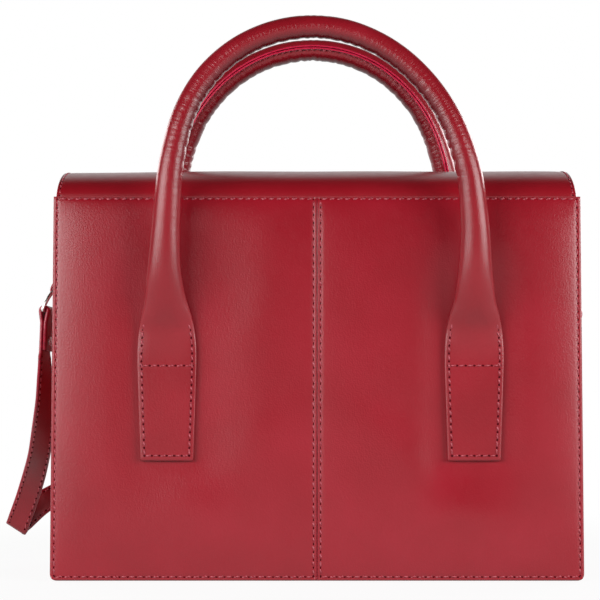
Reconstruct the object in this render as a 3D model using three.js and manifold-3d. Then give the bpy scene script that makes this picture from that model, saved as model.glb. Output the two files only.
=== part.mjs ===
// Structured leather satchel: two main panels on an inset gusset and base, a short
// flap over the mouth, two rolled handles and a shoulder strap on pivoting side tabs.
// Millimetres, +Z up, origin at the centre of the base underside.
// The back of the bag, which carries the flap, faces -Y.
import * as THREE from "three";
import { mergeVertices } from "three/addons/utils/BufferGeometryUtils.js";
import Module from "manifold-3d";

// Main panels
const BASE_WIDTH = 340;
const TOP_TAKE_IN = 5;
const BODY_HEIGHT = 246;
const BODY_DEPTH = 110;
const CORNER_RADIUS = 5;
const LEATHER = 1.8;
const LINING = 0.8;
const BOARD = 1.4;
const BASE_BOARD = 2;
const LAYER_GAP = 0.2;
const FIT_GAP = 0.3;
const SEAM_GAP = 0.4;
const SEAM_TAPE_WIDTH = 18;
const SEAM_TAPE_FOOT = 10;
const LIP_HEIGHT = 14;
const FLANGE_WIDTH = 14;
const LINING_TOP_MARGIN = 2;
const RIVET_SPACE = 1.6;

// Flap
const FLAP_TAKE_IN = 1;
const FLAP_RISE = 18.5;
const FLAP_DROP = 27;
const FLAP_STANDOFF = 0.3;
const FLAP_ROOT_HEIGHT = 12;
const FLAP_STEPS = 18;
const FLAP_EDGE_MARGIN = 3;
const MAGNET_RADIUS = 7;
const MAGNET_FROM_EDGE = 13;

// Handles
const HANDLE_SPREAD = 98;
const HANDLE_RADIUS = 7.3;
const HANDLE_APEX = 353;
const ARCH_START = 250;
const ARCH_POWER = 1.8;
const ARCH_STEPS = 20;
const LEG_STEPS = 8;
const HANDLE_LEATHER = 1.8;
const NECK_HALF_WIDTH = 17;
const NECK_TAPER = 26;
const NECK_ROUNDING = 8;
const NECK_OFFSET = 12;
const NECK_OFFSET_RUN = 13;
const HANDLE_LEAN = 0.045;
const HANDLE_RETURN = 9;
const HANDLE_SHIFT = 2.2;
const BACK_HANDLE_SWAY = 5.2;
const FLANGE_PROUD = 4;
const FLANGE_PLY = 1.3;
const FLANGE_SLIT = 0.4;
const FLANGE_HEM = 0.15;
const FLANGE_FROM = 262;
const FLANGE_FULL = 277;
const CORE_CLEARANCE = 0.5;
const CORE_START = 217;

// Handle tabs, sewn flat on the panels
const TAB_FOOT = 77;
const TAB_TOP = 167.7;
const TAB_FOOT_WIDTH = 34;
const TAB_WAIST_WIDTH = 39;
const TAB_WAIST = 145;
const TAB_THICKNESS = 3.6;
const TAB_CORNER = 3;

// Side tabs, rings and their rivets
const PIVOT_FROM_TOP = 43;
const SIDE_TAB_HALF_WIDTH = 7;
const SIDE_TAB_PLIES = 3.4;
const SIDE_TAB_RISE = 8;
const LOOP_DROP = 16.7;
const LOOP_BORE_LEFT = 2.8;
const LOOP_BORE_RIGHT = 1.9;
const LOOP_WALL = 1.2;
const LOOP_HALF_WIDTH = 2.8;
const RING_BAR_CLEARANCE = 0.5;
const RING_ARCH = 13;
const RING_CORNER = 2.5;
const RING_WIRE = 1.25;
const RING_TURN_LEFT = 18;
const RING_TILT_LEFT = 22;
const RING_TURN_RIGHT = 0;
const RING_TILT_RIGHT = 2;
const PIVOT_SHANK = 1.5;
const PIVOT_HEAD_RADIUS = 3.6;
const PIVOT_HEAD = 1.6;
const PIVOT_FOOT_RADIUS = 3.2;
const PIVOT_FOOT = 0.9;

// Shoulder strap
const STRAP_WIDTH = 16;
const STRAP_THICKNESS = 2.2;
const STRAP_TAIL = 26;
const STRAP_RIVET_DROP = 19.5;
const STRAP_RIVET_SHANK = 1.2;
const STRAP_RIVET_HEAD_RADIUS = 3.2;
const STRAP_RIVET_HEAD = 0.7;
const FOLD_RADIUS = 2.4;

// Derived places
const HALF_DEPTH = BODY_DEPTH / 2;
const SECOND_LAYER = HALF_DEPTH - LEATHER - LAYER_GAP;
const LINING_FACE = SECOND_LAYER - LEATHER - LAYER_GAP;
const LINING_INSIDE = LINING_FACE - LINING;
const TOP_WIDTH = BASE_WIDTH - TOP_TAKE_IN;
const FLAP_WIDTH = TOP_WIDTH - FLAP_TAKE_IN;
const SIDE = BASE_WIDTH / 2;
const PIVOT_HEIGHT = BODY_HEIGHT - PIVOT_FROM_TOP;
const SIDE_SLOPE = TOP_TAKE_IN / 2 / BODY_HEIGHT;
const BOARD_FLOOR = LEATHER + LAYER_GAP;
const LINING_FLOOR = BOARD_FLOOR + BASE_BOARD + LAYER_GAP;
const LIP_TOP = LIP_HEIGHT + FIT_GAP;
const ROOT_TOP = BODY_HEIGHT - LAYER_GAP;
const ROOT_FOOT = BODY_HEIGHT - FLAP_ROOT_HEIGHT;
const FLAP_PLIES = LEATHER + BOARD + LINING + 2 * LAYER_GAP;
const FLAP_FOOT = BODY_HEIGHT + LAYER_GAP;
const FLAP_SPAN = BODY_DEPTH + FLAP_STANDOFF + FLAP_PLIES;
const MAGNET_HEIGHT = FLAP_FOOT - FLAP_DROP + MAGNET_FROM_EDGE;
const NECK_START = TAB_TOP + FIT_GAP;
const TAB_FACE = HALF_DEPTH + LAYER_GAP;

const deg = THREE.MathUtils.degToRad;
const vec = (x, y, z) => new THREE.Vector3(x, y, z);

const wasm = await Module();
wasm.setup();

// A merged, position-only copy of a geometry as a solid for joins and cuts.
function solid(geometry) {
  const bare = geometry.clone();
  bare.deleteAttribute("normal");
  bare.deleteAttribute("uv");
  const merged = mergeVertices(bare, 1e-4);
  return new wasm.Manifold(new wasm.Mesh({
    numProp: 3,
    vertProperties: Float32Array.from(merged.attributes.position.array),
    triVerts: Uint32Array.from(merged.index.array),
  }));
}

function fromSolid(manifold) {
  const mesh = manifold.getMesh();
  const geometry = new THREE.BufferGeometry();
  geometry.setAttribute("position", new THREE.BufferAttribute(mesh.vertProperties, 3));
  geometry.setIndex(new THREE.BufferAttribute(mesh.triVerts, 1));
  return geometry;
}

function cut(geometry, ...tools) {
  let body = solid(geometry);
  for (const tool of tools) {
    body = body.subtract(solid(tool));
  }
  return fromSolid(body);
}

function join(geometry, other) {
  return fromSolid(solid(geometry).add(solid(other)));
}

function outline(points) {
  return new THREE.Shape(points.map(([a, b]) => new THREE.Vector2(a, b)));
}

function extrude(shape, depth, curveSegments = 6) {
  return new THREE.ExtrudeGeometry(shape, { depth, bevelEnabled: false, curveSegments });
}

// A shape drawn in X and Z, standing from y to y + depth.
function standing(shape, y, depth, curveSegments) {
  return extrude(shape, depth, curveSegments).rotateX(Math.PI / 2).translate(0, y + depth, 0);
}

// A shape drawn in Y and Z, running from x to x + depth.
function across(shape, x, depth, curveSegments) {
  const turn = new THREE.Matrix4().makeBasis(vec(0, 1, 0), vec(0, 0, 1), vec(1, 0, 0));
  return extrude(shape, depth, curveSegments).applyMatrix4(turn).translate(x, 0, 0);
}

// A layer inside the front or back wall, given by its distances from the mid-plane.
function wallLayer(shape, side, outer, thickness) {
  return standing(shape, side < 0 ? -outer : outer - thickness, thickness);
}

function halfWidth(z) {
  return BASE_WIDTH / 2 - SIDE_SLOPE * z;
}

// An outline that follows the tapering sides of the bag, inset from them.
function taperedOutline(inset, foot, top) {
  return outline([
    [-halfWidth(foot) + inset, foot],
    [halfWidth(foot) - inset, foot],
    [halfWidth(top) - inset, top],
    [-halfWidth(top) + inset, top],
  ]);
}

// A closed skin over rows of points; every row is one section, and the row order is the path.
function skin(rows, section, closed) {
  const count = rows[0].length;
  const positions = [];
  for (const row of rows) {
    for (const p of row) {
      positions.push(p.x, p.y, p.z);
    }
  }
  const index = [];
  const last = closed ? rows.length : rows.length - 1;
  for (let i = 0; i < last; i += 1) {
    const a = i * count;
    const b = ((i + 1) % rows.length) * count;
    for (let j = 0; j < count; j += 1) {
      const k = (j + 1) % count;
      index.push(a + j, a + k, b + k);
      index.push(a + j, b + k, b + j);
    }
  }
  if (!closed) {
    const faces = THREE.ShapeUtils.triangulateShape(section, []);
    const end = (rows.length - 1) * count;
    for (const [a, b, c] of faces) {
      index.push(c, b, a);
      index.push(end + a, end + b, end + c);
    }
  }
  const geometry = new THREE.BufferGeometry();
  geometry.setAttribute("position", new THREE.Float32BufferAttribute(positions, 3));
  geometry.setIndex(index);
  return geometry;
}

// Main panel outline with small round corners at the foot.
function panelOutline(from, to) {
  const leftCorner = from < 0;
  const rightCorner = to > 0;
  const shape = new THREE.Shape();
  const left = (z) => (leftCorner ? -halfWidth(z) : from);
  const right = (z) => (rightCorner ? halfWidth(z) : to);
  const r = CORNER_RADIUS;
  shape.moveTo(left(0) + (leftCorner ? r : 0), 0);
  shape.lineTo(right(0) - (rightCorner ? r : 0), 0);
  if (rightCorner) {
    shape.quadraticCurveTo(right(0), 0, right(r), r);
  }
  shape.lineTo(right(BODY_HEIGHT), BODY_HEIGHT);
  shape.lineTo(left(BODY_HEIGHT), BODY_HEIGHT);
  if (leftCorner) {
    shape.lineTo(left(r), r);
    shape.quadraticCurveTo(left(0), 0, left(0) + r, 0);
  }
  return shape;
}

// One side gusset, drawn on the right: a web between two inward flanges.
function gusset() {
  const edge = BASE_WIDTH / 2;
  const web = edge - LEATHER;
  const inside = SECOND_LAYER - LEATHER;
  const channel = outline([
    [edge, -SECOND_LAYER],
    [edge, SECOND_LAYER],
    [edge - FLANGE_WIDTH, SECOND_LAYER],
    [edge - FLANGE_WIDTH, inside],
    [web, inside],
    [web, -inside],
    [edge - FLANGE_WIDTH, -inside],
    [edge - FLANGE_WIDTH, -SECOND_LAYER],
  ]);
  const upper = extrude(channel, BODY_HEIGHT - LIP_TOP).translate(0, 0, LIP_TOP);
  const reach = inside - LAYER_GAP;
  const footShape = outline([
    [-reach, BOARD_FLOOR],
    [reach, BOARD_FLOOR],
    [reach, LIP_TOP + LIP_HEIGHT],
    [-reach, LIP_TOP + LIP_HEIGHT],
  ]);
  const foot = across(footShape, web, LEATHER);
  const whole = join(upper, foot);
  whole.applyMatrix4(new THREE.Matrix4().makeShear(0, 0, 0, 0, -SIDE_SLOPE, 0));
  const hole = barX(PIVOT_SHANK + FIT_GAP, edge - FLANGE_WIDTH, edge + FLANGE_WIDTH);
  return cut(whole, hole.translate(0, 0, PIVOT_HEIGHT));
}

function gussetLining() {
  const outer = BASE_WIDTH / 2 - LEATHER - RIVET_SPACE;
  const reach = LINING_INSIDE - LAYER_GAP;
  const top = BODY_HEIGHT - LINING_TOP_MARGIN;
  const foot = LINING_FLOOR + LINING + LAYER_GAP;
  const shape = outline([[-reach, foot], [reach, foot], [reach, top], [-reach, top]]);
  const sheet = across(shape, outer - LINING, LINING);
  return sheet.applyMatrix4(new THREE.Matrix4().makeShear(0, 0, 0, 0, -SIDE_SLOPE, 0));
}

// A round bar along X.
function barX(radius, from, to, sides = 16) {
  const bar = new THREE.CylinderGeometry(radius, radius, to - from, sides);
  return bar.rotateZ(Math.PI / 2).translate((from + to) / 2, 0, 0);
}

function barY(radius, from, to, sides = 20) {
  const bar = new THREE.CylinderGeometry(radius, radius, to - from, sides);
  return bar.translate(0, (from + to) / 2, 0);
}

function basePanel() {
  const lip = SECOND_LAYER;
  const shape = outline([
    [-lip, 0],
    [lip, 0],
    [lip, LIP_HEIGHT],
    [lip - LEATHER, LIP_HEIGHT],
    [lip - LEATHER, LEATHER],
    [LEATHER - lip, LEATHER],
    [LEATHER - lip, LIP_HEIGHT],
    [-lip, LIP_HEIGHT],
  ]);
  const length = 2 * (halfWidth(LIP_HEIGHT) - FIT_GAP);
  return across(shape, -length / 2, length);
}

function flatSheet(halfX, halfY, z, thickness) {
  return new THREE.BoxGeometry(2 * halfX, 2 * halfY, thickness).translate(0, 0, z + thickness / 2);
}

// The board in the back wall, slotted where the seam tape lies.
function backBoard() {
  const foot = LIP_TOP;
  const top = ROOT_FOOT - FIT_GAP;
  const inset = FLANGE_WIDTH + FIT_GAP;
  const slot = SEAM_TAPE_WIDTH / 2 + FIT_GAP;
  return outline([
    [-halfWidth(foot) + inset, foot],
    [halfWidth(foot) - inset, foot],
    [halfWidth(top) - inset, top],
    [slot, top],
    [slot, foot + SEAM_TAPE_FOOT],
    [-slot, foot + SEAM_TAPE_FOOT],
    [-slot, top],
    [-halfWidth(top) + inset, top],
  ]);
}

// Flap profile in Y and Z: a half ellipse from the hinge over the mouth, then the front lip.
// Each ply lies between two depths measured in from the outer face.
function flapPly(outerDepth, thickness, width, margin) {
  const a = FLAP_SPAN / 2;
  const centre = a - HALF_DEPTH;
  const line = [];
  for (let i = 0; i <= FLAP_STEPS; i += 1) {
    const t = (Math.PI * i) / FLAP_STEPS;
    const normal = new THREE.Vector2(-Math.cos(t) / a, Math.sin(t) / FLAP_RISE).normalize();
    const y = centre - a * Math.cos(t);
    const z = FLAP_FOOT + FLAP_RISE * Math.sin(t);
    line.push([y, z, normal]);
  }
  const lip = new THREE.Vector2(1, 0);
  line.push([centre + a, FLAP_FOOT - FLAP_DROP + margin, lip]);
  const at = (depth) => line.map(([y, z, n]) => [y - n.x * depth, z - n.y * depth]);
  const outer = at(outerDepth);
  const inner = at(outerDepth + thickness).reverse();
  return across(outline([...inner, ...outer]), -width / 2, width);
}

function flapBoard() {
  const ply = flapPly(LEATHER + LAYER_GAP, BOARD, FLAP_WIDTH - 2 * FLAP_EDGE_MARGIN, FLAP_EDGE_MARGIN);
  const hole = barY(MAGNET_RADIUS + FIT_GAP, HALF_DEPTH, HALF_DEPTH + 2 * FLAP_PLIES);
  return cut(ply, hole.translate(0, 0, MAGNET_HEIGHT));
}

// Goes from 0 to 1 over a run, with a level start, as leather lifts off a sewn tongue.
function softRise(t, run) {
  return 1 - (1 + t / run) * Math.exp(-t / run);
}

// Handle centre line: two legs and an arch between them, leaning out from the panel.
function handleReach(z) {
  const t = z - NECK_START;
  const bow = NECK_OFFSET * softRise(t, NECK_OFFSET_RUN);
  const back = HANDLE_RETURN * THREE.MathUtils.smoothstep(z, ARCH_START, HANDLE_APEX);
  return TAB_FACE + TAB_THICKNESS / 2 + bow + HANDLE_LEAN * t - back;
}

function handleHalfWidth(z) {
  return HANDLE_RADIUS + (NECK_HALF_WIDTH - HANDLE_RADIUS) * Math.exp((NECK_START - z) / NECK_TAPER);
}

function handleHalfThickness(z) {
  const flat = TAB_THICKNESS / 2;
  return flat + (HANDLE_RADIUS - flat) * softRise(z - NECK_START, NECK_ROUNDING);
}

// A used handle sits a little to one side, and its top sways back from there.
function handleLine(start, sway) {
  const points = [];
  const add = (x, z) => {
    const drift = sway * THREE.MathUtils.smoothstep(z, ARCH_START, HANDLE_APEX) - HANDLE_SHIFT;
    points.push(vec(x + drift, handleReach(z), z));
  };
  const leg = (x, i) => {
    const share = (i / LEG_STEPS) ** 1.5;
    add(x, start + (ARCH_START - start) * share);
  };
  for (let i = 0; i < LEG_STEPS; i += 1) {
    leg(-HANDLE_SPREAD, i);
  }
  for (let i = 0; i <= ARCH_STEPS; i += 1) {
    const t = Math.PI * (1 - i / ARCH_STEPS);
    const bend = (value) => Math.sign(value) * Math.abs(value) ** (2 / ARCH_POWER);
    const z = ARCH_START + (HANDLE_APEX - ARCH_START) * bend(Math.max(0, Math.sin(t)));
    add(HANDLE_SPREAD * bend(Math.cos(t)), z);
  }
  for (let i = LEG_STEPS - 1; i >= 0; i -= 1) {
    leg(HANDLE_SPREAD, i);
  }
  return points;
}

// Section axes at each point of a line: one square to the line towards a given direction,
// and one square to both. The end sections lie level.
function frames(points, towards) {
  const last = points.length - 1;
  return points.map((point, i) => {
    const before = points[Math.max(0, i - 1)];
    const after = points[Math.min(last, i + 1)];
    const tangent = after.clone().sub(before);
    if (i === 0 || i === last) {
      tangent.x = 0;
      tangent.y = 0;
    }
    tangent.normalize();
    const first = towards.clone().addScaledVector(tangent, -towards.dot(tangent)).normalize();
    return { point, first, second: tangent.clone().cross(first) };
  });
}

// Rolled leather section: a tube slit along its seam, where both edges stand up as a flange.
// The first coordinate points to the flange, the second across the handle.
function rolledSection(halfThick, halfWide, proud) {
  const slit = FLANGE_SLIT / 2;
  const ply = slit + FLANGE_PLY;
  const steps = 9;
  const outer = [];
  const inner = [];
  const wall = HANDLE_LEATHER - SEAM_GAP / 2;
  const innerThick = Math.max(halfThick - HANDLE_LEATHER, slit);
  const innerWide = halfWide - (halfThick > 2 * wall ? HANDLE_LEATHER : wall);
  const outerFrom = Math.asin(ply / halfWide);
  const innerFrom = Math.asin(slit / innerWide);
  for (let i = 0; i <= steps; i += 1) {
    const share = i / steps;
    const a = outerFrom + (2 * Math.PI - 2 * outerFrom) * share;
    outer.push([halfThick * Math.cos(a), halfWide * Math.sin(a)]);
    const b = innerFrom + (2 * Math.PI - 2 * innerFrom) * share;
    inner.push([innerThick * Math.cos(b), innerWide * Math.sin(b)]);
  }
  const tip = halfThick + proud;
  return [[tip, slit], [tip, ply], ...outer, [tip, -ply], [tip, -slit], ...inner.reverse()];
}

function flangeProud(z) {
  const share = THREE.MathUtils.smoothstep(z, FLANGE_FROM, FLANGE_FULL);
  return FLANGE_HEM + (FLANGE_PROUD - FLANGE_HEM) * share;
}

// Rows of a handle drawn on the front, where the flange points back to the mid-plane.
function handleCover(sway) {
  const stations = frames(handleLine(NECK_START, sway), vec(0, -1, 0));
  const rows = [];
  let first = null;
  for (const { point, first: e, second: f } of stations) {
    const section = rolledSection(
      handleHalfThickness(point.z),
      handleHalfWidth(point.z),
      flangeProud(point.z),
    );
    first = first ?? section.map(([a, b]) => new THREE.Vector2(a, b));
    rows.push(section.map(([a, b]) => point.clone().addScaledVector(e, a).addScaledVector(f, b)));
  }
  return skin(rows, first, false);
}

function handleCore(sway) {
  const stations = frames(handleLine(CORE_START, sway), vec(0, -1, 0));
  const radius = HANDLE_RADIUS - HANDLE_LEATHER - CORE_CLEARANCE;
  const sides = 10;
  const section = [];
  for (let i = 0; i < sides; i += 1) {
    const t = (2 * Math.PI * i) / sides;
    section.push(new THREE.Vector2(radius * Math.cos(t), radius * Math.sin(t)));
  }
  const place = ({ point, first, second }) => section.map((s) => (
    point.clone().addScaledVector(first, s.x).addScaledVector(second, s.y)
  ));
  return skin(stations.map(place), section, false);
}

// Shield-shaped tab that runs on below the neck of a handle.
function handleTab() {
  const foot = TAB_FOOT_WIDTH / 2;
  const waist = TAB_WAIST_WIDTH / 2;
  const r = TAB_CORNER;
  const shape = new THREE.Shape();
  shape.moveTo(-foot + r, TAB_FOOT);
  shape.lineTo(foot - r, TAB_FOOT);
  shape.quadraticCurveTo(foot, TAB_FOOT, foot, TAB_FOOT + r);
  const middle = (TAB_FOOT + TAB_WAIST) / 2;
  shape.quadraticCurveTo(waist, middle, waist, TAB_WAIST);
  shape.quadraticCurveTo(waist, (TAB_WAIST + TAB_TOP) / 2, NECK_HALF_WIDTH, TAB_TOP);
  shape.lineTo(-NECK_HALF_WIDTH, TAB_TOP);
  shape.quadraticCurveTo(-waist, (TAB_WAIST + TAB_TOP) / 2, -waist, TAB_WAIST);
  shape.quadraticCurveTo(-waist, middle, -foot, TAB_FOOT + r);
  shape.quadraticCurveTo(-foot, TAB_FOOT, -foot + r, TAB_FOOT);
  return shape;
}

// Side tab, drawn on the right: a leather strip folded round the ring below its rivet.
const TAB_INSIDE = halfWidth(PIVOT_HEIGHT - LOOP_DROP) + FIT_GAP;
const LOOP_Z = PIVOT_HEIGHT - LOOP_DROP;
const TAB_OUTSIDE = TAB_INSIDE + SIDE_TAB_PLIES;

function sideTab(boreRadius) {
  const loopOuter = boreRadius + LOOP_WALL;
  const loopX = TAB_INSIDE + loopOuter;
  const top = PIVOT_HEIGHT + SIDE_TAB_RISE;
  const shape = new THREE.Shape();
  shape.moveTo(TAB_INSIDE, top);
  shape.lineTo(TAB_INSIDE, LOOP_Z);
  shape.absarc(loopX, LOOP_Z, loopOuter, Math.PI, 2 * Math.PI + deg(40), false);
  shape.lineTo(TAB_OUTSIDE, PIVOT_HEIGHT - PIVOT_HEAD_RADIUS - FIT_GAP);
  shape.lineTo(TAB_OUTSIDE, top);
  const bore = new THREE.Path();
  bore.absarc(loopX, LOOP_Z, boreRadius, 0, 2 * Math.PI, true);
  shape.holes.push(bore);
  const width = 2 * SIDE_TAB_HALF_WIDTH;
  const tab = standing(shape, -SIDE_TAB_HALF_WIDTH, width, 16);
  const place = tab.attributes.position;
  const taperTop = PIVOT_HEIGHT - PIVOT_HEAD_RADIUS;
  for (let i = 0; i < place.count; i += 1) {
    const narrow = THREE.MathUtils.smoothstep(taperTop - place.getZ(i), 0, taperTop - LOOP_Z - loopOuter);
    const share = THREE.MathUtils.lerp(1, LOOP_HALF_WIDTH / SIDE_TAB_HALF_WIDTH, Math.min(1, narrow));
    place.setY(i, place.getY(i) * share);
  }
  const hole = barX(PIVOT_SHANK + FIT_GAP, TAB_INSIDE - FIT_GAP, TAB_OUTSIDE + FIT_GAP);
  return cut(tab, hole.translate(0, 0, PIVOT_HEIGHT));
}

// Rivet that carries a side tab, drawn on the right along X.
function pivotRivet() {
  const web = halfWidth(PIVOT_HEIGHT) - LEATHER - LAYER_GAP;
  const head = TAB_OUTSIDE + LAYER_GAP;
  const profile = [
    [0, web - PIVOT_FOOT],
    [PIVOT_FOOT_RADIUS, web - PIVOT_FOOT],
    [PIVOT_FOOT_RADIUS, web],
    [PIVOT_SHANK, web],
    [PIVOT_SHANK, head],
    [PIVOT_HEAD_RADIUS, head],
    [PIVOT_HEAD_RADIUS * 0.85, head + PIVOT_HEAD * 0.6],
    [PIVOT_HEAD_RADIUS * 0.45, head + PIVOT_HEAD * 0.93],
    [0, head + PIVOT_HEAD],
  ];
  const lathe = new THREE.LatheGeometry(profile.map(([r, h]) => new THREE.Vector2(r, h)), 16);
  return lathe.rotateZ(-Math.PI / 2).translate(0, 0, PIVOT_HEIGHT);
}

// Hanging frame of a ring: its centre and foot, the direction of its bar, the direction
// that faces away from the bag, and the direction in which the strap hangs from the bar.
function ringFrame(side, turn, tilt, boreRadius) {
  const down = vec(side * Math.sin(deg(tilt)), 0, -Math.cos(deg(tilt)));
  const level = vec(-Math.sin(deg(turn)), side * Math.cos(deg(turn)), 0);
  const bar = level.addScaledVector(down, -level.dot(down)).normalize();
  const out = bar.clone().cross(vec(0, 0, 1)).normalize();
  const hang = bar.clone().cross(out);
  const top = vec(side * (TAB_INSIDE + boreRadius + LOOP_WALL), 0, LOOP_Z);
  const centre = top.clone().addScaledVector(down, RING_ARCH);
  const foot = centre.clone().addScaledVector(down, RING_CORNER);
  return { down, out, bar, hang, centre, foot };
}

// D-ring: a half-elliptic arch in the tab's loop, closed by a straight bar for the strap.
function ring({ down, bar, centre }) {
  const half = STRAP_WIDTH / 2 + RING_BAR_CLEARANCE + RING_WIRE;
  const steps = 28;
  const sides = 8;
  const flat = 0.3;
  const normal = down.clone().cross(bar);
  const line = [];
  for (let i = 0; i < steps; i += 1) {
    const t = (2 * Math.PI * (i + 0.5)) / steps;
    const c = Math.cos(t);
    const s = Math.sin(t);
    const square = (value) => Math.sign(value) * Math.abs(value) ** flat;
    const x = half * (s < 0 ? square(c) : c);
    const fall = s < 0 ? RING_CORNER * -square(s) : -RING_ARCH * s;
    line.push(centre.clone().addScaledVector(bar, x).addScaledVector(down, fall));
  }
  const rows = line.map((point, i) => {
    const after = line[(i + 1) % steps];
    const before = line[(i + steps - 1) % steps];
    const tangent = after.clone().sub(before).normalize();
    const side = tangent.clone().cross(normal);
    const row = [];
    for (let k = 0; k < sides; k += 1) {
      const a = (2 * Math.PI * k) / sides;
      const p = point.clone().addScaledVector(normal, RING_WIRE * Math.cos(a));
      row.push(p.addScaledVector(side, RING_WIRE * Math.sin(a)));
    }
    return row;
  });
  return skin(rows, [], true);
}

// Strap path as stations: centre, width direction and thickness direction.
function strapEnd(frame) {
  const bend = RING_WIRE + FIT_GAP + STRAP_THICKNESS / 2;
  const closed = STRAP_THICKNESS / 2 + FIT_GAP / 2;
  const width = frame.bar;
  const place = (u, v) => (
    frame.foot.clone().addScaledVector(frame.out, u).addScaledVector(frame.hang, -v)
  );
  const stations = [place(-closed, -STRAP_TAIL), place(-closed, -3 * bend)];
  for (let i = 0; i <= 8; i += 1) {
    const t = Math.PI * (1 - i / 8);
    stations.push(place(bend * Math.cos(t), bend * Math.sin(t)));
  }
  stations.push(place(closed, -3 * bend), place(closed, -STRAP_TAIL - closed));
  return stations.map((point) => ({ point, width }));
}

// Free run of the strap between two stations, through chosen points and width directions.
function strapRun(from, guides, to, steps) {
  const rows = [from, ...guides.map(([x, y, z, wx, wy, wz]) => (
    { point: vec(x, y, z), width: vec(wx, wy, wz).normalize() }
  )), to];
  const curve = new THREE.CatmullRomCurve3(rows.map((row) => row.point), false, "centripetal");
  const stations = [];
  for (let i = 1; i < steps; i += 1) {
    const t = i / steps;
    const place = t * (rows.length - 1);
    const k = Math.min(rows.length - 2, Math.floor(place));
    const share = THREE.MathUtils.smoothstep(place - k, 0, 1);
    const width = rows[k].width.clone().lerp(rows[k + 1].width, share).normalize();
    stations.push({ point: curve.getPoint(t), width });
  }
  return stations;
}

// Flat fold at the foot of the left run: the strap turns back behind itself about a slanted line.
const FOLD_CENTRE = vec(-SIDE - 38, 80, 22.5);
const FOLD_LINE = vec(-0.84, 0, 0.54).normalize();
const FOLD_IN = vec(-0.29, 0.3, -0.91).normalize();

function strapFold() {
  const depth = FOLD_IN.clone().cross(FOLD_LINE).normalize();
  const ahead = FOLD_LINE.clone().cross(depth);
  const stations = [];
  for (let i = 0; i <= 6; i += 1) {
    const t = (Math.PI * i) / 6;
    const point = FOLD_CENTRE.clone();
    point.addScaledVector(depth, -FOLD_RADIUS * Math.cos(t));
    point.addScaledVector(ahead, FOLD_RADIUS * Math.sin(t));
    stations.push({ point, width: FOLD_LINE });
  }
  return stations;
}

function strapRows(stations) {
  const rows = [];
  stations.forEach(({ point, width }, i) => {
    const before = stations[Math.max(0, i - 1)].point;
    const after = stations[Math.min(stations.length - 1, i + 1)].point;
    const tangent = after.clone().sub(before).normalize();
    const thick = tangent.clone().cross(width).normalize();
    const wide = thick.clone().cross(tangent).normalize();
    const skew = Math.max(0.5, Math.abs(wide.dot(width)));
    const w = width.clone().multiplyScalar(STRAP_WIDTH / 2 / skew);
    const n = thick.multiplyScalar(STRAP_THICKNESS / 2);
    rows.push([
      point.clone().add(w).add(n),
      point.clone().sub(w).add(n),
      point.clone().sub(w).sub(n),
      point.clone().add(w).sub(n),
    ]);
  });
  return rows;
}

const LEFT_RING = ringFrame(-1, RING_TURN_LEFT, RING_TILT_LEFT, LOOP_BORE_LEFT);
const RIGHT_RING = ringFrame(1, RING_TURN_RIGHT, RING_TILT_RIGHT, LOOP_BORE_RIGHT);

// Guide points of the two free runs: x, y, z and the direction of the strap's width.
const LEFT_GUIDES = [
  [-SIDE - 11.5, 12, PIVOT_HEIGHT - 85, -0.5, -0.85, 0.1],
  [-SIDE - 19, 46, 76, -0.72, -0.6, 0.3],
  [-SIDE - 29, 68, 46, -0.82, -0.25, 0.48],
];
const REAR_GUIDES = [
  [-SIDE - 18, 85, 40, -0.69, 0, 0.72],
  [-SIDE + 12, 108, 49, -0.3, 0, 0.95],
  [-SIDE + 60, 136, 48, 0, 0, 1],
  [-SIDE + 115, 155, 47, 0, 0, 1],
  [0, 162, 47, 0, 0, 1],
  [SIDE - 110, 159, 49, 0, 0, 1],
  [SIDE - 55, 142, 54, 0, 0, 1],
  [SIDE - 16, 110, 72, 0.05, 0.3, 0.95],
  [SIDE + 4, 64, PIVOT_HEIGHT - 101, 0.02, 0.72, 0.69],
  [SIDE + 4.2, 22, PIVOT_HEIGHT - 77, 0, 0.97, 0.24],
];

function strapStations() {
  const left = strapEnd(LEFT_RING);
  const right = strapEnd(RIGHT_RING).reverse();
  const fold = strapFold();
  return [
    ...left,
    ...strapRun(left.at(-1), LEFT_GUIDES, fold[0], 16),
    ...fold,
    ...strapRun(fold.at(-1), REAR_GUIDES, right[0], 33),
    ...right,
  ];
}

// Double-capped rivet through both layers of a strap end.
function strapRivet(frame) {
  const half = STRAP_THICKNESS + FIT_GAP / 2 + LAYER_GAP;
  const r = STRAP_RIVET_HEAD_RADIUS;
  const h = STRAP_RIVET_HEAD;
  const profile = [
    [0, -half - h],
    [r * 0.5, -half - h * 0.9],
    [r, -half - h * 0.35],
    [r, -half],
    [STRAP_RIVET_SHANK, -half],
    [STRAP_RIVET_SHANK, half],
    [r, half],
    [r, half + h * 0.35],
    [r * 0.5, half + h * 0.9],
    [0, half + h],
  ];
  const lathe = new THREE.LatheGeometry(profile.map(([a, b]) => new THREE.Vector2(a, b)), 14);
  return onStrapEnd(lathe, frame);
}

// Moves a shape made along Y to the rivet's place on a strap end.
function onStrapEnd(geometry, frame) {
  const { out, hang, foot } = frame;
  const basis = new THREE.Matrix4().makeBasis(hang, out, hang.clone().cross(out));
  basis.setPosition(foot.clone().addScaledVector(hang, STRAP_RIVET_DROP));
  return geometry.applyMatrix4(basis);
}

function strapHole(frame) {
  return onStrapEnd(barY(STRAP_RIVET_SHANK + FIT_GAP, -4 * STRAP_THICKNESS, 4 * STRAP_THICKNESS), frame);
}

function strap() {
  const rows = strapRows(strapStations());
  const w = STRAP_WIDTH / 2;
  const n = STRAP_THICKNESS / 2;
  const section = outline([[w, n], [-w, n], [-w, -n], [w, -n]]).getPoints();
  return cut(skin(rows, section, false), strapHole(LEFT_RING), strapHole(RIGHT_RING));
}

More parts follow.
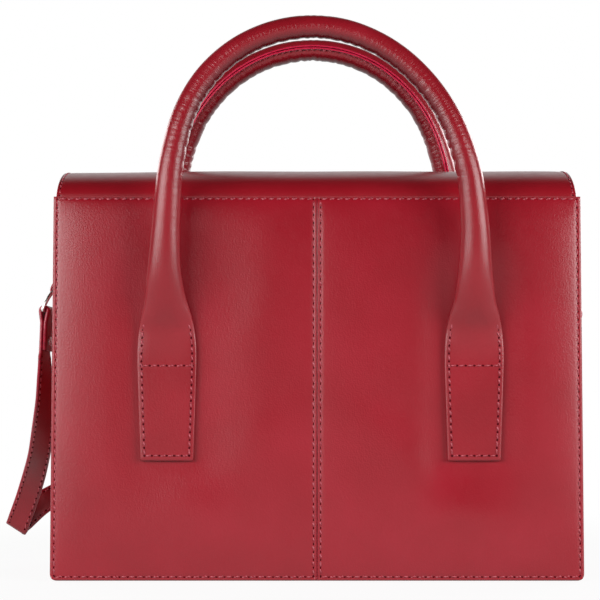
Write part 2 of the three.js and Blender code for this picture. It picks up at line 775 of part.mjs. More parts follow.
// Looks
const leather = new THREE.MeshStandardMaterial({ color: 0xa3263a, roughness: 0.5, metalness: 0 });
const darkLeather = new THREE.MeshStandardMaterial({ color: 0x8f2030, roughness: 0.45, metalness: 0 });
const board = new THREE.MeshStandardMaterial({ color: 0x8a7660, roughness: 0.9, metalness: 0 });
const cloth = new THREE.MeshStandardMaterial({ color: 0x3a2a2c, roughness: 0.9, metalness: 0 });
const chrome = new THREE.MeshStandardMaterial({ color: 0xc9ccd1, roughness: 0.2, metalness: 1 });
const steel = new THREE.MeshStandardMaterial({ color: 0x8d9095, roughness: 0.4, metalness: 1 });
const cotton = new THREE.MeshStandardMaterial({ color: 0xd8cfc0, roughness: 0.95, metalness: 0 });

const satchel = new THREE.Group();

function place(name, geometry, material, turned = false) {
  const mesh = new THREE.Mesh(geometry, material);
  mesh.name = name;
  mesh.rotation.z = turned ? Math.PI : 0;
  satchel.add(mesh);
}

// Back wall
const seam = SEAM_GAP / 2;
place("back_panel_left", wallLayer(panelOutline(-1, -seam), -1, HALF_DEPTH, LEATHER), leather);
place("back_panel_right", wallLayer(panelOutline(seam, 1), -1, HALF_DEPTH, LEATHER), leather);
const tape = outline([
  [-SEAM_TAPE_WIDTH / 2, LIP_TOP + SEAM_TAPE_FOOT + FIT_GAP],
  [SEAM_TAPE_WIDTH / 2, LIP_TOP + SEAM_TAPE_FOOT + FIT_GAP],
  [SEAM_TAPE_WIDTH / 2, ROOT_FOOT - FIT_GAP],
  [-SEAM_TAPE_WIDTH / 2, ROOT_FOOT - FIT_GAP],
]);
place("back_seam_tape", wallLayer(tape, -1, SECOND_LAYER, BOARD), darkLeather);
place("back_stiffener", wallLayer(backBoard(), -1, SECOND_LAYER, BOARD), board);
const sideInset = LEATHER + RIVET_SPACE + LINING + FIT_GAP;
const liningShape = taperedOutline(sideInset, LINING_FLOOR, BODY_HEIGHT - LINING_TOP_MARGIN);
place("back_lining", wallLayer(liningShape, -1, LINING_FACE, LINING), cloth);
const rootShape = taperedOutline(FLANGE_WIDTH + FIT_GAP, ROOT_FOOT, ROOT_TOP);
place("flap_root", wallLayer(rootShape, -1, SECOND_LAYER, LEATHER), darkLeather);

// Front wall
place("front_panel", wallLayer(panelOutline(-1, 1), 1, HALF_DEPTH, LEATHER), leather);
const frontBoard = taperedOutline(FLANGE_WIDTH + FIT_GAP, LIP_TOP, BODY_HEIGHT - LINING_TOP_MARGIN);
const magnetSeat = new THREE.Path();
magnetSeat.absarc(0, MAGNET_HEIGHT, MAGNET_RADIUS + FIT_GAP, 0, 2 * Math.PI, true);
frontBoard.holes.push(magnetSeat);
place("front_stiffener", wallLayer(frontBoard, 1, SECOND_LAYER, BOARD), board);
place("front_lining", wallLayer(liningShape, 1, LINING_FACE, LINING), cloth);
const frontMagnet = barY(MAGNET_RADIUS, SECOND_LAYER - BOARD, SECOND_LAYER);
place("front_magnet", frontMagnet.translate(0, 0, MAGNET_HEIGHT), steel);

// Sides and base
place("right_gusset", gusset(), leather);
place("left_gusset", gusset(), leather, true);
place("right_gusset_lining", gussetLining(), cloth);
place("left_gusset_lining", gussetLining(), cloth, true);
place("base_panel", basePanel(), leather);
const boardReachX = halfWidth(BOARD_FLOOR + BASE_BOARD) - LEATHER - FIT_GAP;
const boardReachY = SECOND_LAYER - LEATHER - FIT_GAP;
place("base_board", flatSheet(boardReachX, boardReachY, BOARD_FLOOR, BASE_BOARD), board);
const liningReachX = halfWidth(LINING_FLOOR + LINING) - LEATHER - FIT_GAP;
const liningReachY = LINING_INSIDE - LAYER_GAP;
place("base_lining", flatSheet(liningReachX, liningReachY, LINING_FLOOR, LINING), cloth);

// Flap
place("flap_leather", flapPly(0, LEATHER, FLAP_WIDTH, 0), leather);
place("flap_stiffener", flapBoard(), board);
const flapLiningDepth = LEATHER + BOARD + 2 * LAYER_GAP;
place("flap_lining", flapPly(flapLiningDepth, LINING, FLAP_WIDTH, 0), darkLeather);
const flapMagnetFace = HALF_DEPTH + FLAP_STANDOFF + LINING + LAYER_GAP;
const flapMagnet = barY(MAGNET_RADIUS, flapMagnetFace, flapMagnetFace + BOARD);
place("flap_magnet", flapMagnet.translate(0, 0, MAGNET_HEIGHT), steel);

// Handles and their tabs
place("front_handle_cover", handleCover(0), darkLeather);
place("front_handle_core", handleCore(0), cotton);
place("back_handle_cover", handleCover(BACK_HANDLE_SWAY), darkLeather, true);
place("back_handle_core", handleCore(BACK_HANDLE_SWAY), cotton, true);
for (const [wall, side] of [["back", -1], ["front", 1]]) {
  for (const [hand, x] of [["left", -HANDLE_SPREAD], ["right", HANDLE_SPREAD]]) {
    const tab = wallLayer(handleTab(), side, TAB_FACE + TAB_THICKNESS, TAB_THICKNESS);
    place(`${wall}_handle_tab_${hand}`, tab.translate(x - side * HANDLE_SHIFT, 0, 0), darkLeather);
  }
}

// Side tabs, rings and strap
place("right_tab_pivot", pivotRivet(), chrome);
place("left_tab_pivot", pivotRivet(), chrome, true);
place("right_side_tab", sideTab(LOOP_BORE_RIGHT), darkLeather);
place("left_side_tab", sideTab(LOOP_BORE_LEFT), darkLeather, true);
place("left_ring", ring(LEFT_RING), chrome);
place("right_ring", ring(RIGHT_RING), chrome);
place("strap", strap(), leather);
place("left_strap_rivet", strapRivet(LEFT_RING), chrome);
place("right_strap_rivet", strapRivet(RIGHT_RING), chrome);

export default satchel;
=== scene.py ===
# Red leather satchel, seen from the back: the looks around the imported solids.
# Metres in the scene, millimetres in the measurements below, same frame as the solids.
import math

import bmesh
import bpy
import numpy as np
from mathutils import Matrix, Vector, noise


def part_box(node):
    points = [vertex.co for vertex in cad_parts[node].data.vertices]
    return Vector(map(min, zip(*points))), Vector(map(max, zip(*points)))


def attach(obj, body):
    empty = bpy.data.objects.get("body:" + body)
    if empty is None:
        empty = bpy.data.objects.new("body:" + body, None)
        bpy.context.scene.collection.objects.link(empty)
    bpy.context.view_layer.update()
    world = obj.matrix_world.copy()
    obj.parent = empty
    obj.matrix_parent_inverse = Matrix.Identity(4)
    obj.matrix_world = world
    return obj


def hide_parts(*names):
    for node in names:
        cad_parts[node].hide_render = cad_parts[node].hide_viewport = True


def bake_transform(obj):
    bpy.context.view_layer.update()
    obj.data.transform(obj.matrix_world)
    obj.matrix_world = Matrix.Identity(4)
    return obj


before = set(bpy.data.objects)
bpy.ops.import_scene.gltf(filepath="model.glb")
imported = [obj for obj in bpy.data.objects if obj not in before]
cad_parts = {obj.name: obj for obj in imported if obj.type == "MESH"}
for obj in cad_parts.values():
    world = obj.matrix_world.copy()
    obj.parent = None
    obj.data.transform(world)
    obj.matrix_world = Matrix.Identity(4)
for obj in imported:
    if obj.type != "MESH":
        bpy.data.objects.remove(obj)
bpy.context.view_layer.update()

MM = 0.001
BASE_HALF = 171.2        # half width of a main panel at its foot, with its painted edge
SIDE_SLOPE = 2.5 / 246   # how fast the sides lean in
HEIGHT = 246.0           # top of the main panels
FACE = 55.0              # outside of the main panels, from the mid-plane
LEATHER = 1.8            # thickness of the sheets
TAB_X = 98.0             # middle of a handle tab, and of the leg above it


# Small tools

def half_width(z):
    """Half width of a main panel at a height."""
    return BASE_HALF - SIDE_SLOPE * z


def smooth(low, high, x):
    """Goes from 0 to 1 between two values, level at both ends."""
    t = np.clip((np.asarray(x, float) - low) / (high - low), 0.0, 1.0)
    return t * t * (3 - 2 * t)


def cloud(x, y, z, size):
    """Slow, seeded unevenness between -1 and 1; size is the width of one swell in millimetres."""
    flat = np.broadcast_arrays(np.asarray(x, float), np.asarray(y, float), np.asarray(z, float))
    rows = np.stack([a.ravel() for a in flat], 1) / size
    return np.array([noise.noise(Vector(r)) for r in rows]).reshape(flat[0].shape)


def unit(v):
    """The same directions, one long."""
    v = np.asarray(v, float)
    return v / np.maximum(np.linalg.norm(v, axis=-1, keepdims=True), 1e-12)


def run_length(points):
    """Distance along a row of points to each of them."""
    return np.concatenate([[0], np.cumsum(np.linalg.norm(np.diff(points, axis=0), axis=1))])


def once_round(sides):
    """Even angles once round."""
    return np.linspace(0, 2 * math.pi, sides, endpoint=False)


def marks(low, high, near_low, near_high, step):
    """Grid lines from low to high: given distances in from each end, and even steps between."""
    first = [low + d for d in near_low]
    last = [high - d for d in reversed(near_high)]
    count = max(1, round((last[0] - first[-1]) / step))
    middle = [first[-1] + (last[0] - first[-1]) * i / count for i in range(1, count)]
    return np.array(first + middle + last)


# Materials

def linear(code):
    """sRGB hex to linear colour."""
    parts = [int(code[i:i + 2], 16) / 255 for i in (1, 3, 5)]
    return tuple(c / 12.92 if c <= 0.04045 else ((c + 0.055) / 1.055) ** 2.4 for c in parts) + (1.0,)


def add_node(tree, kind, inputs=(), stops=(), **settings):
    """Adds one shader node with its settings, the colours of its ramp, and its sockets' values or links."""
    made = tree.nodes.new("ShaderNode" + kind)
    for name, value in settings.items():
        setattr(made, name, value)
    for place, _ in stops[2:]:
        made.color_ramp.elements.new(place)
    for i, (place, code) in enumerate(stops):
        made.color_ramp.elements[i].position = place
        made.color_ramp.elements[i].color = linear(code)
    for name, value in dict(inputs).items():
        if isinstance(value, bpy.types.NodeSocket):
            tree.links.new(value, made.inputs[name])
        else:
            made.inputs[name].default_value = value
    return made


def blank(name):
    """A new material with an empty tree, and the place on the object in metres."""
    material = bpy.data.materials.new(name)
    material.use_nodes = True
    tree = material.node_tree
    tree.nodes.clear()
    return material, tree, add_node(tree, "TexCoord").outputs


HALF_ROUND = 0.0266      # half way round a handle's roll in its lay, metres
SLANT_WAVE = 0.36276     # a slanted wave of scale 1 repeats after this many metres


def box_calf(name, stops, rough, grain, creased=False, fold_shade=None):
    """Glazed calf leather, drum dyed: even deep red, slight clouding of the dye, a close grain of pores and
    short growth lines under a soft polish, which gives wide hazy highlights with the grain showing in them.
    The pores of calf are about 0.3 mm; they are drawn at 1 mm so that they show. The rolled leather of the
    handles also has fine creases across it, where its arch is bent, but not on the stretched outside of the
    bend. Its gathered inside, under the arch, is painted darker as shade."""
    material, tree, place = blank(name)
    dye = add_node(tree, "TexNoise", {"Vector": place["Object"], "Scale": 1 / 0.045, "Detail": 4.0})
    fleck = add_node(tree, "TexNoise", {"Vector": place["Object"], "Scale": 1 / 0.0016, "Detail": 2.0})
    mottle = add_node(tree, "Math", {0: fleck.outputs["Fac"], 1: 0.22, 2: dye.outputs["Fac"]},
                      operation="MULTIPLY_ADD")
    colour = add_node(tree, "ValToRGB", {"Fac": mottle.outputs[0]}, stops)
    haze = add_node(tree, "TexNoise", {"Vector": place["Object"], "Scale": 1 / 0.006, "Detail": 5.0})
    polish = add_node(tree, "MapRange", {"Value": haze.outputs["Fac"], "From Min": 0.3, "From Max": 0.7,
                                         "To Min": rough - 0.025, "To Max": rough + 0.025})
    pores = add_node(tree, "TexVoronoi", {"Vector": place["Object"], "Scale": 1 / 0.0010})
    hide = add_node(tree, "Mapping", {"Vector": place["Object"],
                                      "Scale": (1 / 0.0011, 1 / 0.0011, 1 / 0.0036)})
    growth = add_node(tree, "TexNoise", {"Vector": hide.outputs["Vector"], "Scale": 1.0, "Detail": 2.0})
    relief = add_node(tree, "Math", {0: growth.outputs["Fac"], 1: 1.1, 2: pores.outputs["Distance"]},
                      operation="MULTIPLY_ADD")
    if creased:
        lay = add_node(tree, "Mapping", {"Vector": place["UV"], "Scale": (1 / 0.0024, 1 / 0.014, 1.0)})
        crease = add_node(tree, "TexNoise", {"Vector": lay.outputs["Vector"], "Scale": 1.0, "Detail": 3.0})
        spot = add_node(tree, "SeparateXYZ", {"Vector": place["Object"]})
        bent = add_node(tree, "MapRange", {"Value": spot.outputs["Z"], "From Min": 0.22, "From Max": 0.31,
                                           "To Min": 0.3, "To Max": 16.0})
        folds = add_node(tree, "Math", {0: crease.outputs["Fac"], 1: bent.outputs["Result"]},
                         operation="MULTIPLY")
        if fold_shade:
            skin = add_node(tree, "SeparateXYZ", {"Vector": place["UV"]})
            turned = add_node(tree, "Math", {0: skin.outputs["Y"], 1: HALF_ROUND}, operation="SUBTRACT")
            turned = add_node(tree, "Math", {0: turned.outputs[0]}, operation="ABSOLUTE")
            slack = add_node(tree, "MapRange", {"Value": turned.outputs[0], "From Min": 0.12 * HALF_ROUND,
                                                "From Max": 0.38 * HALF_ROUND})
            folds = add_node(tree, "Math", {0: folds.outputs[0], 1: slack.outputs["Result"]},
                             operation="MULTIPLY")
            # Painted shade: where the roll faces in and down under its arch, its colour is mixed toward a
            # dark red.
            inside = add_node(tree, "MapRange", {"Value": turned.outputs[0], "From Min": 0.54 * HALF_ROUND,
                                                 "From Max": 0.9 * HALF_ROUND},
                              interpolation_type="SMOOTHSTEP")
            arch = add_node(tree, "MapRange", {"Value": spot.outputs["Z"], "From Min": 0.24, "From Max": 0.3})
            painted_shade_mask = add_node(tree, "Math", {0: inside.outputs["Result"], 1: arch.outputs["Result"]},
                            operation="MULTIPLY")
            colour = add_node(tree, "MixRGB", {"Fac": painted_shade_mask.outputs[0], "Color1": colour.outputs["Color"],
                                               "Color2": linear(fold_shade)})
        relief = add_node(tree, "Math", {0: folds.outputs[0], 1: relief.outputs[0]})
    bump = add_node(tree, "Bump", {"Height": relief.outputs[0], "Strength": grain, "Distance": 0.0003})
    shader = add_node(tree, "BsdfPrincipled", {
        "Base Color": colour.outputs["Color"], "Roughness": polish.outputs["Result"],
        "Normal": bump.outputs["Normal"], "IOR": 1.5, "Coat Weight": 0.12, "Coat Roughness": 0.3})
    add_node(tree, "OutputMaterial", {"Surface": shader.outputs["BSDF"]})
    return material


def one_pattern(name, texture, pattern, stops, finish, relief=None, **settings):
    """A material whose colour follows one pattern, which also stands in relief where its strength and depth
    in metres are given."""
    material, tree, place = blank(name)
    drawn = add_node(tree, texture, {"Vector": place["Object"], **pattern}, **settings)
    colour = add_node(tree, "ValToRGB", {"Fac": drawn.outputs["Fac"]}, stops)
    finish = {"Base Color": colour.outputs["Color"], **finish}
    if relief:
        bump = add_node(tree, "Bump", {"Height": drawn.outputs["Fac"], "Strength": relief[0],
                                       "Distance": relief[1]})
        finish["Normal"] = bump.outputs["Normal"]
    shader = add_node(tree, "BsdfPrincipled", finish)
    add_node(tree, "OutputMaterial", {"Surface": shader.outputs["BSDF"]})
    return material


def cotton_drill():
    """Cotton drill lining: matt wine-red twill. Its ribs are 0.8 mm apart and are drawn at 3.6 mm, so that
    they show."""
    material, tree, place = blank("cotton_drill_lining")
    rib = add_node(tree, "TexWave", {"Vector": place["Object"], "Scale": SLANT_WAVE / 0.003645,
                                     "Distortion": 0.6, "Detail Scale": 2.0}, bands_direction="DIAGONAL")
    slub = add_node(tree, "TexNoise", {"Vector": place["Object"], "Scale": 1 / 0.009, "Detail": 4.0})
    yarn = add_node(tree, "Math", {0: rib.outputs["Fac"], 1: 0.35, 2: slub.outputs["Fac"]},
                    operation="MULTIPLY_ADD")
    colour = add_node(tree, "ValToRGB", {"Fac": yarn.outputs[0]}, [(0.3, "#4f1119"), (0.9, "#7a222d")])
    bump = add_node(tree, "Bump", {"Height": rib.outputs["Fac"], "Strength": 0.3, "Distance": 0.0003})
    shader = add_node(tree, "BsdfPrincipled", {"Base Color": colour.outputs["Color"], "Roughness": 0.88,
                                               "Normal": bump.outputs["Normal"], "Sheen Weight": 0.25})
    add_node(tree, "OutputMaterial", {"Surface": shader.outputs["BSDF"]})
    return material


def nickel_plate():
    """Polished nickel plate on the rings, rivets and magnets: bright, faintly warm, with fine rub marks."""
    material, tree, place = blank("polished_nickel_plate")
    rub = add_node(tree, "TexNoise", {"Vector": place["Object"], "Scale": 1 / 0.0012, "Detail": 4.0})
    colour = add_node(tree, "ValToRGB", {"Fac": rub.outputs["Fac"]}, [(0.3, "#c6c3be"), (0.7, "#dddbd7")])
    worn = add_node(tree, "MapRange", {"Value": rub.outputs["Fac"], "To Min": 0.2, "To Max": 0.36})
    shader = add_node(tree, "BsdfPrincipled", {"Base Color": colour.outputs["Color"], "Metallic": 1.0,
                                               "Roughness": worn.outputs["Result"]})
    add_node(tree, "OutputMaterial", {"Surface": shader.outputs["BSDF"]})
    return material


PANEL = box_calf("glazed_calf_panel", [(0.38, "#981020"), (0.6, "#9e1424"), (0.82, "#a41829")], 0.30, 0.2)
# The flap's leather is the panels' leather drawn a little darker, as painted shade.
FLAP = box_calf("glazed_calf_flap", [(0.38, "#92101d"), (0.6, "#981220"), (0.82, "#9e1624")], 0.31, 0.05)
# The rolled leather of the handles is given a dark red for the painted shade under its arch.
ROLLED = box_calf("glazed_calf_rolled", [(0.38, "#93111f"), (0.6, "#9b1523"), (0.82, "#a41b2a")], 0.30, 0.2,
                  True, "#640a15")
STRAP = box_calf("glazed_calf_strap", [(0.38, "#840d18"), (0.6, "#8e131f"), (0.82, "#981a27")], 0.38, 0.2,
                 True)

# Edge dressing: a thick waxy crimson paint rolled on the cut edges, brighter than the leather, with lumps of
# about 2.5 mm. On the seam flanges of the handles it is drawn brighter still, as painted light.
LUMPS = {"Scale": 1 / 0.0025, "Detail": 3.0}
EDGE = one_pattern("crimson_edge_dressing", "TexNoise", LUMPS, [(0.3, "#8a1026"), (0.62, "#b01c38")],
                   {"Roughness": 0.36}, (0.25, 0.0003))
PAINTED_LIGHT_EDGE = one_pattern("crimson_edge_dressing_painted_light", "TexNoise", LUMPS,
                          [(0.3, "#bc1438"), (0.62, "#d8204a")], {"Roughness": 0.36}, (0.25, 0.0003))

# Waxed polyester sewing thread, dyed to the leather: 0.8 mm, drawn up to 1.1 mm wide so that it shows. Its
# twist shows as slanted light flecks, drawn 1.6 mm apart.
THREAD = one_pattern("waxed_polyester_thread", "TexWave",
                     {"Scale": SLANT_WAVE / 0.0016324, "Distortion": 1.5},
                     [(0.2, "#a02a38"), (0.8, "#c05a66")], {"Roughness": 0.42}, (0.4, 0.0002),
                     bands_direction="DIAGONAL")

# The inside of a stitch hole, drawn as a small plug at the surface: painted shade, dark wine red and matt.
HOLE = one_pattern("stitch_hole_painted_shade", "TexNoise", {"Scale": 1 / 0.0008},
                   [(0.3, "#4a0812"), (0.7, "#640e1a")], {"Roughness": 0.95, "Specular IOR Level": 0.1})

# Pressed fibre board of the stiffeners: warm grey-brown, with darker flecks of about 3 mm.
BOARD = one_pattern("pressed_fibre_board", "TexNoise", {"Scale": 1 / 0.003, "Detail": 5.0},
                    [(0.35, "#6f5d49"), (0.6, "#93806a")], {"Roughness": 0.85})

# Braided cotton cord in the handles: cream and matt, its slanted braid drawn 7 mm apart.
CORD = one_pattern("braided_cotton_cord", "TexWave", {"Scale": SLANT_WAVE / 0.0068344, "Distortion": 2.0},
                   [(0.2, "#b8aa90"), (0.8, "#d8ccb6")], {"Roughness": 0.9}, bands_direction="DIAGONAL")
DRILL = cotton_drill()
NICKEL = nickel_plate()


# Mesh builders

def new_piece(name, points, faces, materials, face_slots, corner_uv=None):
    """A smooth-shaded mesh from points in millimetres, faces turned outward."""
    mesh = bpy.data.meshes.new(name)
    mesh.from_pydata((np.asarray(points, float) * MM).tolist(), [], [list(map(int, f)) for f in faces])
    for material in materials:
        mesh.materials.append(material)
    mesh.polygons.foreach_set("material_index", list(face_slots))
    if corner_uv is not None:
        layer = mesh.uv_layers.new(name="lay")
        layer.data.foreach_set("uv", np.asarray(corner_uv, float).ravel())
    mesh.polygons.foreach_set("use_smooth", [True] * len(mesh.polygons))
    shape = bmesh.new()
    shape.from_mesh(mesh)
    bmesh.ops.recalc_face_normals(shape, faces=shape.faces)
    shape.to_mesh(mesh)
    shape.free()
    piece = bpy.data.objects.new(name, mesh)
    bpy.context.scene.collection.objects.link(piece)
    return piece


def sheet_piece(name, outer, inner, face, edge, roll):
    """A closed sheet between two point grids. Its cut edge is painted, and rounded by roll millimetres."""
    rows, cols = outer.shape[:2]
    rim = [(0, j) for j in range(cols)] + [(i, cols - 1) for i in range(1, rows)]
    rim += [(rows - 1, j) for j in range(cols - 2, -1, -1)] + [(i, 0) for i in range(rows - 2, 0, -1)]
    outer, inner = outer.copy(), inner.copy()
    middle = []
    for i, j in rim:
        near = (min(max(i, 1), rows - 2), min(max(j, 1), cols - 2))
        out = unit(outer[i, j] - outer[near])
        middle.append((outer[i, j] * 0.72 + inner[i, j] * 0.28, outer[i, j] * 0.28 + inner[i, j] * 0.72, out))
    for (i, j), (_, _, out) in zip(rim, middle):
        outer[i, j] -= out * roll
        inner[i, j] -= out * roll
    points = np.concatenate([outer.reshape(-1, 3), inner.reshape(-1, 3),
                             np.array([m[0] for m in middle]), np.array([m[1] for m in middle])])
    size = rows * cols
    faces, slots = [], []
    for i in range(rows - 1):
        for j in range(cols - 1):
            a = i * cols + j
            faces.append((a, a + 1, a + cols + 1, a + cols))
            faces.append((size + a, size + a + cols, size + a + cols + 1, size + a + 1))
            slots += [0, 0]
    ring = len(rim)
    for k in range(ring):
        n = (k + 1) % ring
        o1, o2 = rim[k][0] * cols + rim[k][1], rim[n][0] * cols + rim[n][1]
        u1, u2 = 2 * size + k, 2 * size + n
        l1, l2 = u1 + ring, u2 + ring
        faces += [(o1, u1, u2, o2), (u1, l1, l2, u2), (l1, size + o1, size + o2, l2)]
        slots += [1, 1, 1]
    return new_piece(name, points, faces, [face, edge], slots)


def swept_piece(name, rows, materials, slot_of=None, ends=True):
    """A skin over a row of closed sections, with its own lay: metres along, metres around."""
    rows = np.asarray(rows, float)
    n, m = rows.shape[:2]
    middle = rows.mean(1)
    along = run_length(middle) * MM
    girth = np.linalg.norm(np.roll(rows, -1, 1) - rows, axis=2).mean(0)
    around = np.concatenate([[0], np.cumsum(girth)]) * MM
    faces, slots, lay = [], [], []
    for i in range(n - 1):
        for k in range(m):
            q = (k + 1) % m
            faces.append((i * m + k, i * m + q, (i + 1) * m + q, (i + 1) * m + k))
            slots.append(slot_of(k) if slot_of else 0)
            lay += [(along[i], around[k]), (along[i], around[k + 1]),
                    (along[i + 1], around[k + 1]), (along[i + 1], around[k])]
    if ends:
        for i, order in ((0, range(m - 1, -1, -1)), (n - 1, range(m))):
            faces.append([i * m + k for k in order])
            slots.append(len(materials) - 1)
            lay += [(along[i], around[k]) for k in order]
    return new_piece(name, rows.reshape(-1, 3), faces, materials, slots, lay)


def turned_piece(name, profile, centre, axis, material):
    """A turned metal part: a profile of radius and height, about an axis."""
    axis = unit(axis)
    across = unit(np.cross(axis, (0.3, 0.5, 0.81)))
    other = np.cross(axis, across)
    angle = once_round(28)[:, None]
    rim = np.cos(angle) * across + np.sin(angle) * other
    rows = [np.asarray(centre) + axis * height + radius * rim for radius, height in profile]
    return swept_piece(name, rows, [material])


STITCH = ((-0.5, 0.25), (-0.42, 0.75), (-0.2, 1.0), (0.2, 1.0), (0.42, 0.75), (0.5, 0.25))  # place, girth
STITCH_REACH = 0.70      # length of a stitch that lies open, of the pitch
THREAD_SIDES = 6
HOLE_SIDES = 8
HOLE_LEVELS = (0.06, -0.3)  # rim and bottom of a needle hole over the leather


def stitching(name, runs, pitch, thread=0.48, slant=11.0, hole=0.8):
    """Sewn stitches along runs of points with the surface's outward direction: each stitch is a short
    thread, with half its width given, lying in a slight dip between two needle holes. One mesh for all the
    runs."""
    points, faces, slots = [], [], []
    lean = math.radians(slant)
    for run, up in runs:
        run, up = np.asarray(run, float), np.asarray(up, float)
        length = run_length(run)
        count = max(1, round(length[-1] / pitch))
        stops = np.linspace(0, length[-1], count + 1)
        at = np.stack([np.interp(stops, length, run[:, c]) for c in range(3)], 1)
        face = unit(np.stack([np.interp(stops, length, up[:, c]) for c in range(3)], 1))
        for i in range(count):
            a, b = at[i], at[i + 1]
            out = unit(face[i] + face[i + 1])
            go = unit(b - a)
            way = go * math.cos(lean) + np.cross(out, go) * math.sin(lean)
            cross = np.cross(out, way)
            middle, reach = (a + b) / 2, np.linalg.norm(b - a) * STITCH_REACH
            start = len(points)
            for x, r in STITCH:
                dip = 0.22 - 0.6 * abs(2 * x) ** 3
                for t in once_round(THREAD_SIDES):
                    points.append(middle + way * x * reach + out * (dip + thread * r * math.sin(t))
                                  + cross * thread * r * 1.15 * math.cos(t))
            for k in range(len(STITCH) - 1):
                this = start + k * THREAD_SIDES
                after = this + THREAD_SIDES
                for q in range(THREAD_SIDES):
                    w = (q + 1) % THREAD_SIDES
                    faces.append((this + q, this + w, after + w, after + q))
            for k in (0, len(STITCH) - 1):
                faces.append([start + k * THREAD_SIDES + q for q in range(THREAD_SIDES)])
            slots += [0] * ((len(STITCH) - 1) * THREAD_SIDES + 2)
        # Each needle hole is a small dark plug at the surface, its colour painted shade for the hole.
        for i in range(count + 1):
            out = face[i]
            go = unit(at[min(i + 1, count)] - at[max(i - 1, 0)])
            side = np.cross(out, go)
            top = len(points)
            rim = top + 1
            foot = rim + HOLE_SIDES
            points.append(at[i] + out * 0.10)
            for level in HOLE_LEVELS:
                for t in once_round(HOLE_SIDES):
                    points.append(at[i] + out * level + go * hole * math.cos(t)
                                  + side * 0.85 * hole * math.sin(t))
            for q in range(HOLE_SIDES):
                w = (q + 1) % HOLE_SIDES
                faces.append((top, rim + q, rim + w))
                faces.append((rim + q, foot + q, foot + w, rim + w))
            faces.append([foot + q for q in range(HOLE_SIDES)])
            slots += [1] * (2 * HOLE_SIDES + 1)
    return new_piece(name, points, faces, [THREAD, HOLE], slots)


def settle(piece, body, *nodes):
    """The piece moves with a body and stands for the named solids."""
    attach(piece, body)
    if nodes:
        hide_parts(*nodes)
    return piece


# Main panels

SEW_IN = 2.7             # stitch row in from a panel's edge
TOP_SEW = 1.5            # stitch row down from a panel's top
SEAM_SEW = 2.3           # stitch rows each side of the middle seam
SEAT = 2.4               # how far a panel stands out under a handle tab
SWELL = 4.7              # how far it stands out where nothing holds it
FOOT_CORNER = 4.5        # rounding of a panel's foot corners
HANDLE_SHIFT = 2.2       # sideways set of the handles
PANEL_STEP = 3.6         # width of a panel's grid

# Grid lines in from an edge, close together about its stitches.
RIM = [0, 0.5, 1.1, 1.7, 2.2, 2.7, 3.2, 3.9, 5.2, 8]
TOP_RIM = [0, 0.5, 1.0, 1.5, 2.0, 2.5, 3.2, 4.5, 7]
SEAM_RIM = [0, 0.35, 0.8, 1.3, 1.8, 2.3, 2.8, 3.5, 5, 8]


def tab_seat(x, z, back):
    """1 under a handle tab, 0 away from it; the leather that it draws in spreads
    widest inside the left one."""
    middle = HANDLE_SHIFT if back else -HANDLE_SHIFT
    across = np.abs(x - middle) - TAB_X
    reach = np.where(across > 0, 24, np.where(x < middle, 46, 24))
    beside = 1 - smooth(0, 1, (np.abs(across) - 18) / reach)
    return beside * smooth(38, 82, z) * (1 - smooth(168, 225, z))


def swell(x, z, back):
    """How far a main panel stands out from its board: round between its sewn edges, level under the tabs,
    slack behind the left leg, and stepped up below the slanting pull lines from the tabs' inner corners.
    The edges hold it down over 13 to 18 mm at the sides, 22 mm at the foot and 10 mm at the top, and on the
    front the closed flap does so from its lip up."""
    ax = np.abs(x)
    hold = 1 - np.exp(-np.maximum(half_width(z) - ax - 2, 0) / np.where(x > 0, 18, 13))
    hold *= 1 - np.exp(-np.maximum(z - 2, 0) / 22)
    hold *= 1 - np.exp(-np.maximum(HEIGHT - 1 - z, 0) / 10)
    if back:
        hold *= 1 - 0.3 * np.exp(-ax / 15)
    else:
        hold *= 1 - smooth(175, 214, z)
    pull = -(ax - 80) * 0.62 - (z - 74) * 0.78
    step = smooth(-14, 14, pull) * np.exp(-((ax - 88) / 60) ** 2) * (1 - smooth(95, 130, z))
    shape = SWELL + np.where(x > 0, 0.2, -1.3) * smooth(70, 110, ax)
    shape = shape + 0.4 * cloud(x, z, 3.0 if back else 9.0, 110) + 0.08 * cloud(x, z, 5.0, 40)
    slack = smooth(-122, -72, x) * (1 - smooth(-72, -25, x))
    slack = slack * smooth(150, 185, z) * (1 - smooth(222, 243, z))
    shape = shape + 1.2 * step - 2.0 * slack
    seat = tab_seat(x, z, back)
    return np.maximum(hold * shape * (1 - seat) + SEAT * seat, 0.0)


def sewn_dip(d, at=SEW_IN):
    """Depth that a row of stitches pulls into the leather, at a distance d from the edge."""
    return 0.24 * np.exp(-((d - at) / 0.85) ** 2)


def panel_skin(x, z, back):
    """Outside of a main panel: |y| over the sheet, its rim rubbed round at the sides and the foot."""
    y = FACE + swell(x, z, back)
    for d in (half_width(z) - np.abs(x), z):
        y = y - 1.0 * np.clip(1 - d / 1.5, 0, 1) ** 2
    y = y - sewn_dip(half_width(z) - np.abs(x)) - sewn_dip(z) - sewn_dip(HEIGHT - z, TOP_SEW)
    if back:
        y = y - sewn_dip(np.abs(x), SEAM_SEW) + 0.25 * np.exp(-((np.abs(x) - 1.0) / 0.55) ** 2)
    return y


def corner(x, z, radius=FOOT_CORNER):
    """Rounds the foot corners of a panel grid."""
    ax, side = np.abs(x), np.sign(x)
    cx, cz = half_width(z) - radius, radius
    dx, dz = ax - cx, cz - z
    far = np.hypot(dx, dz)
    pull = np.where((dx > 0) & (dz > 0) & (far > radius), radius / np.maximum(far, 1e-9), 1.0)
    return side * (cx + dx * pull) * (ax > 0), cz - dz * pull


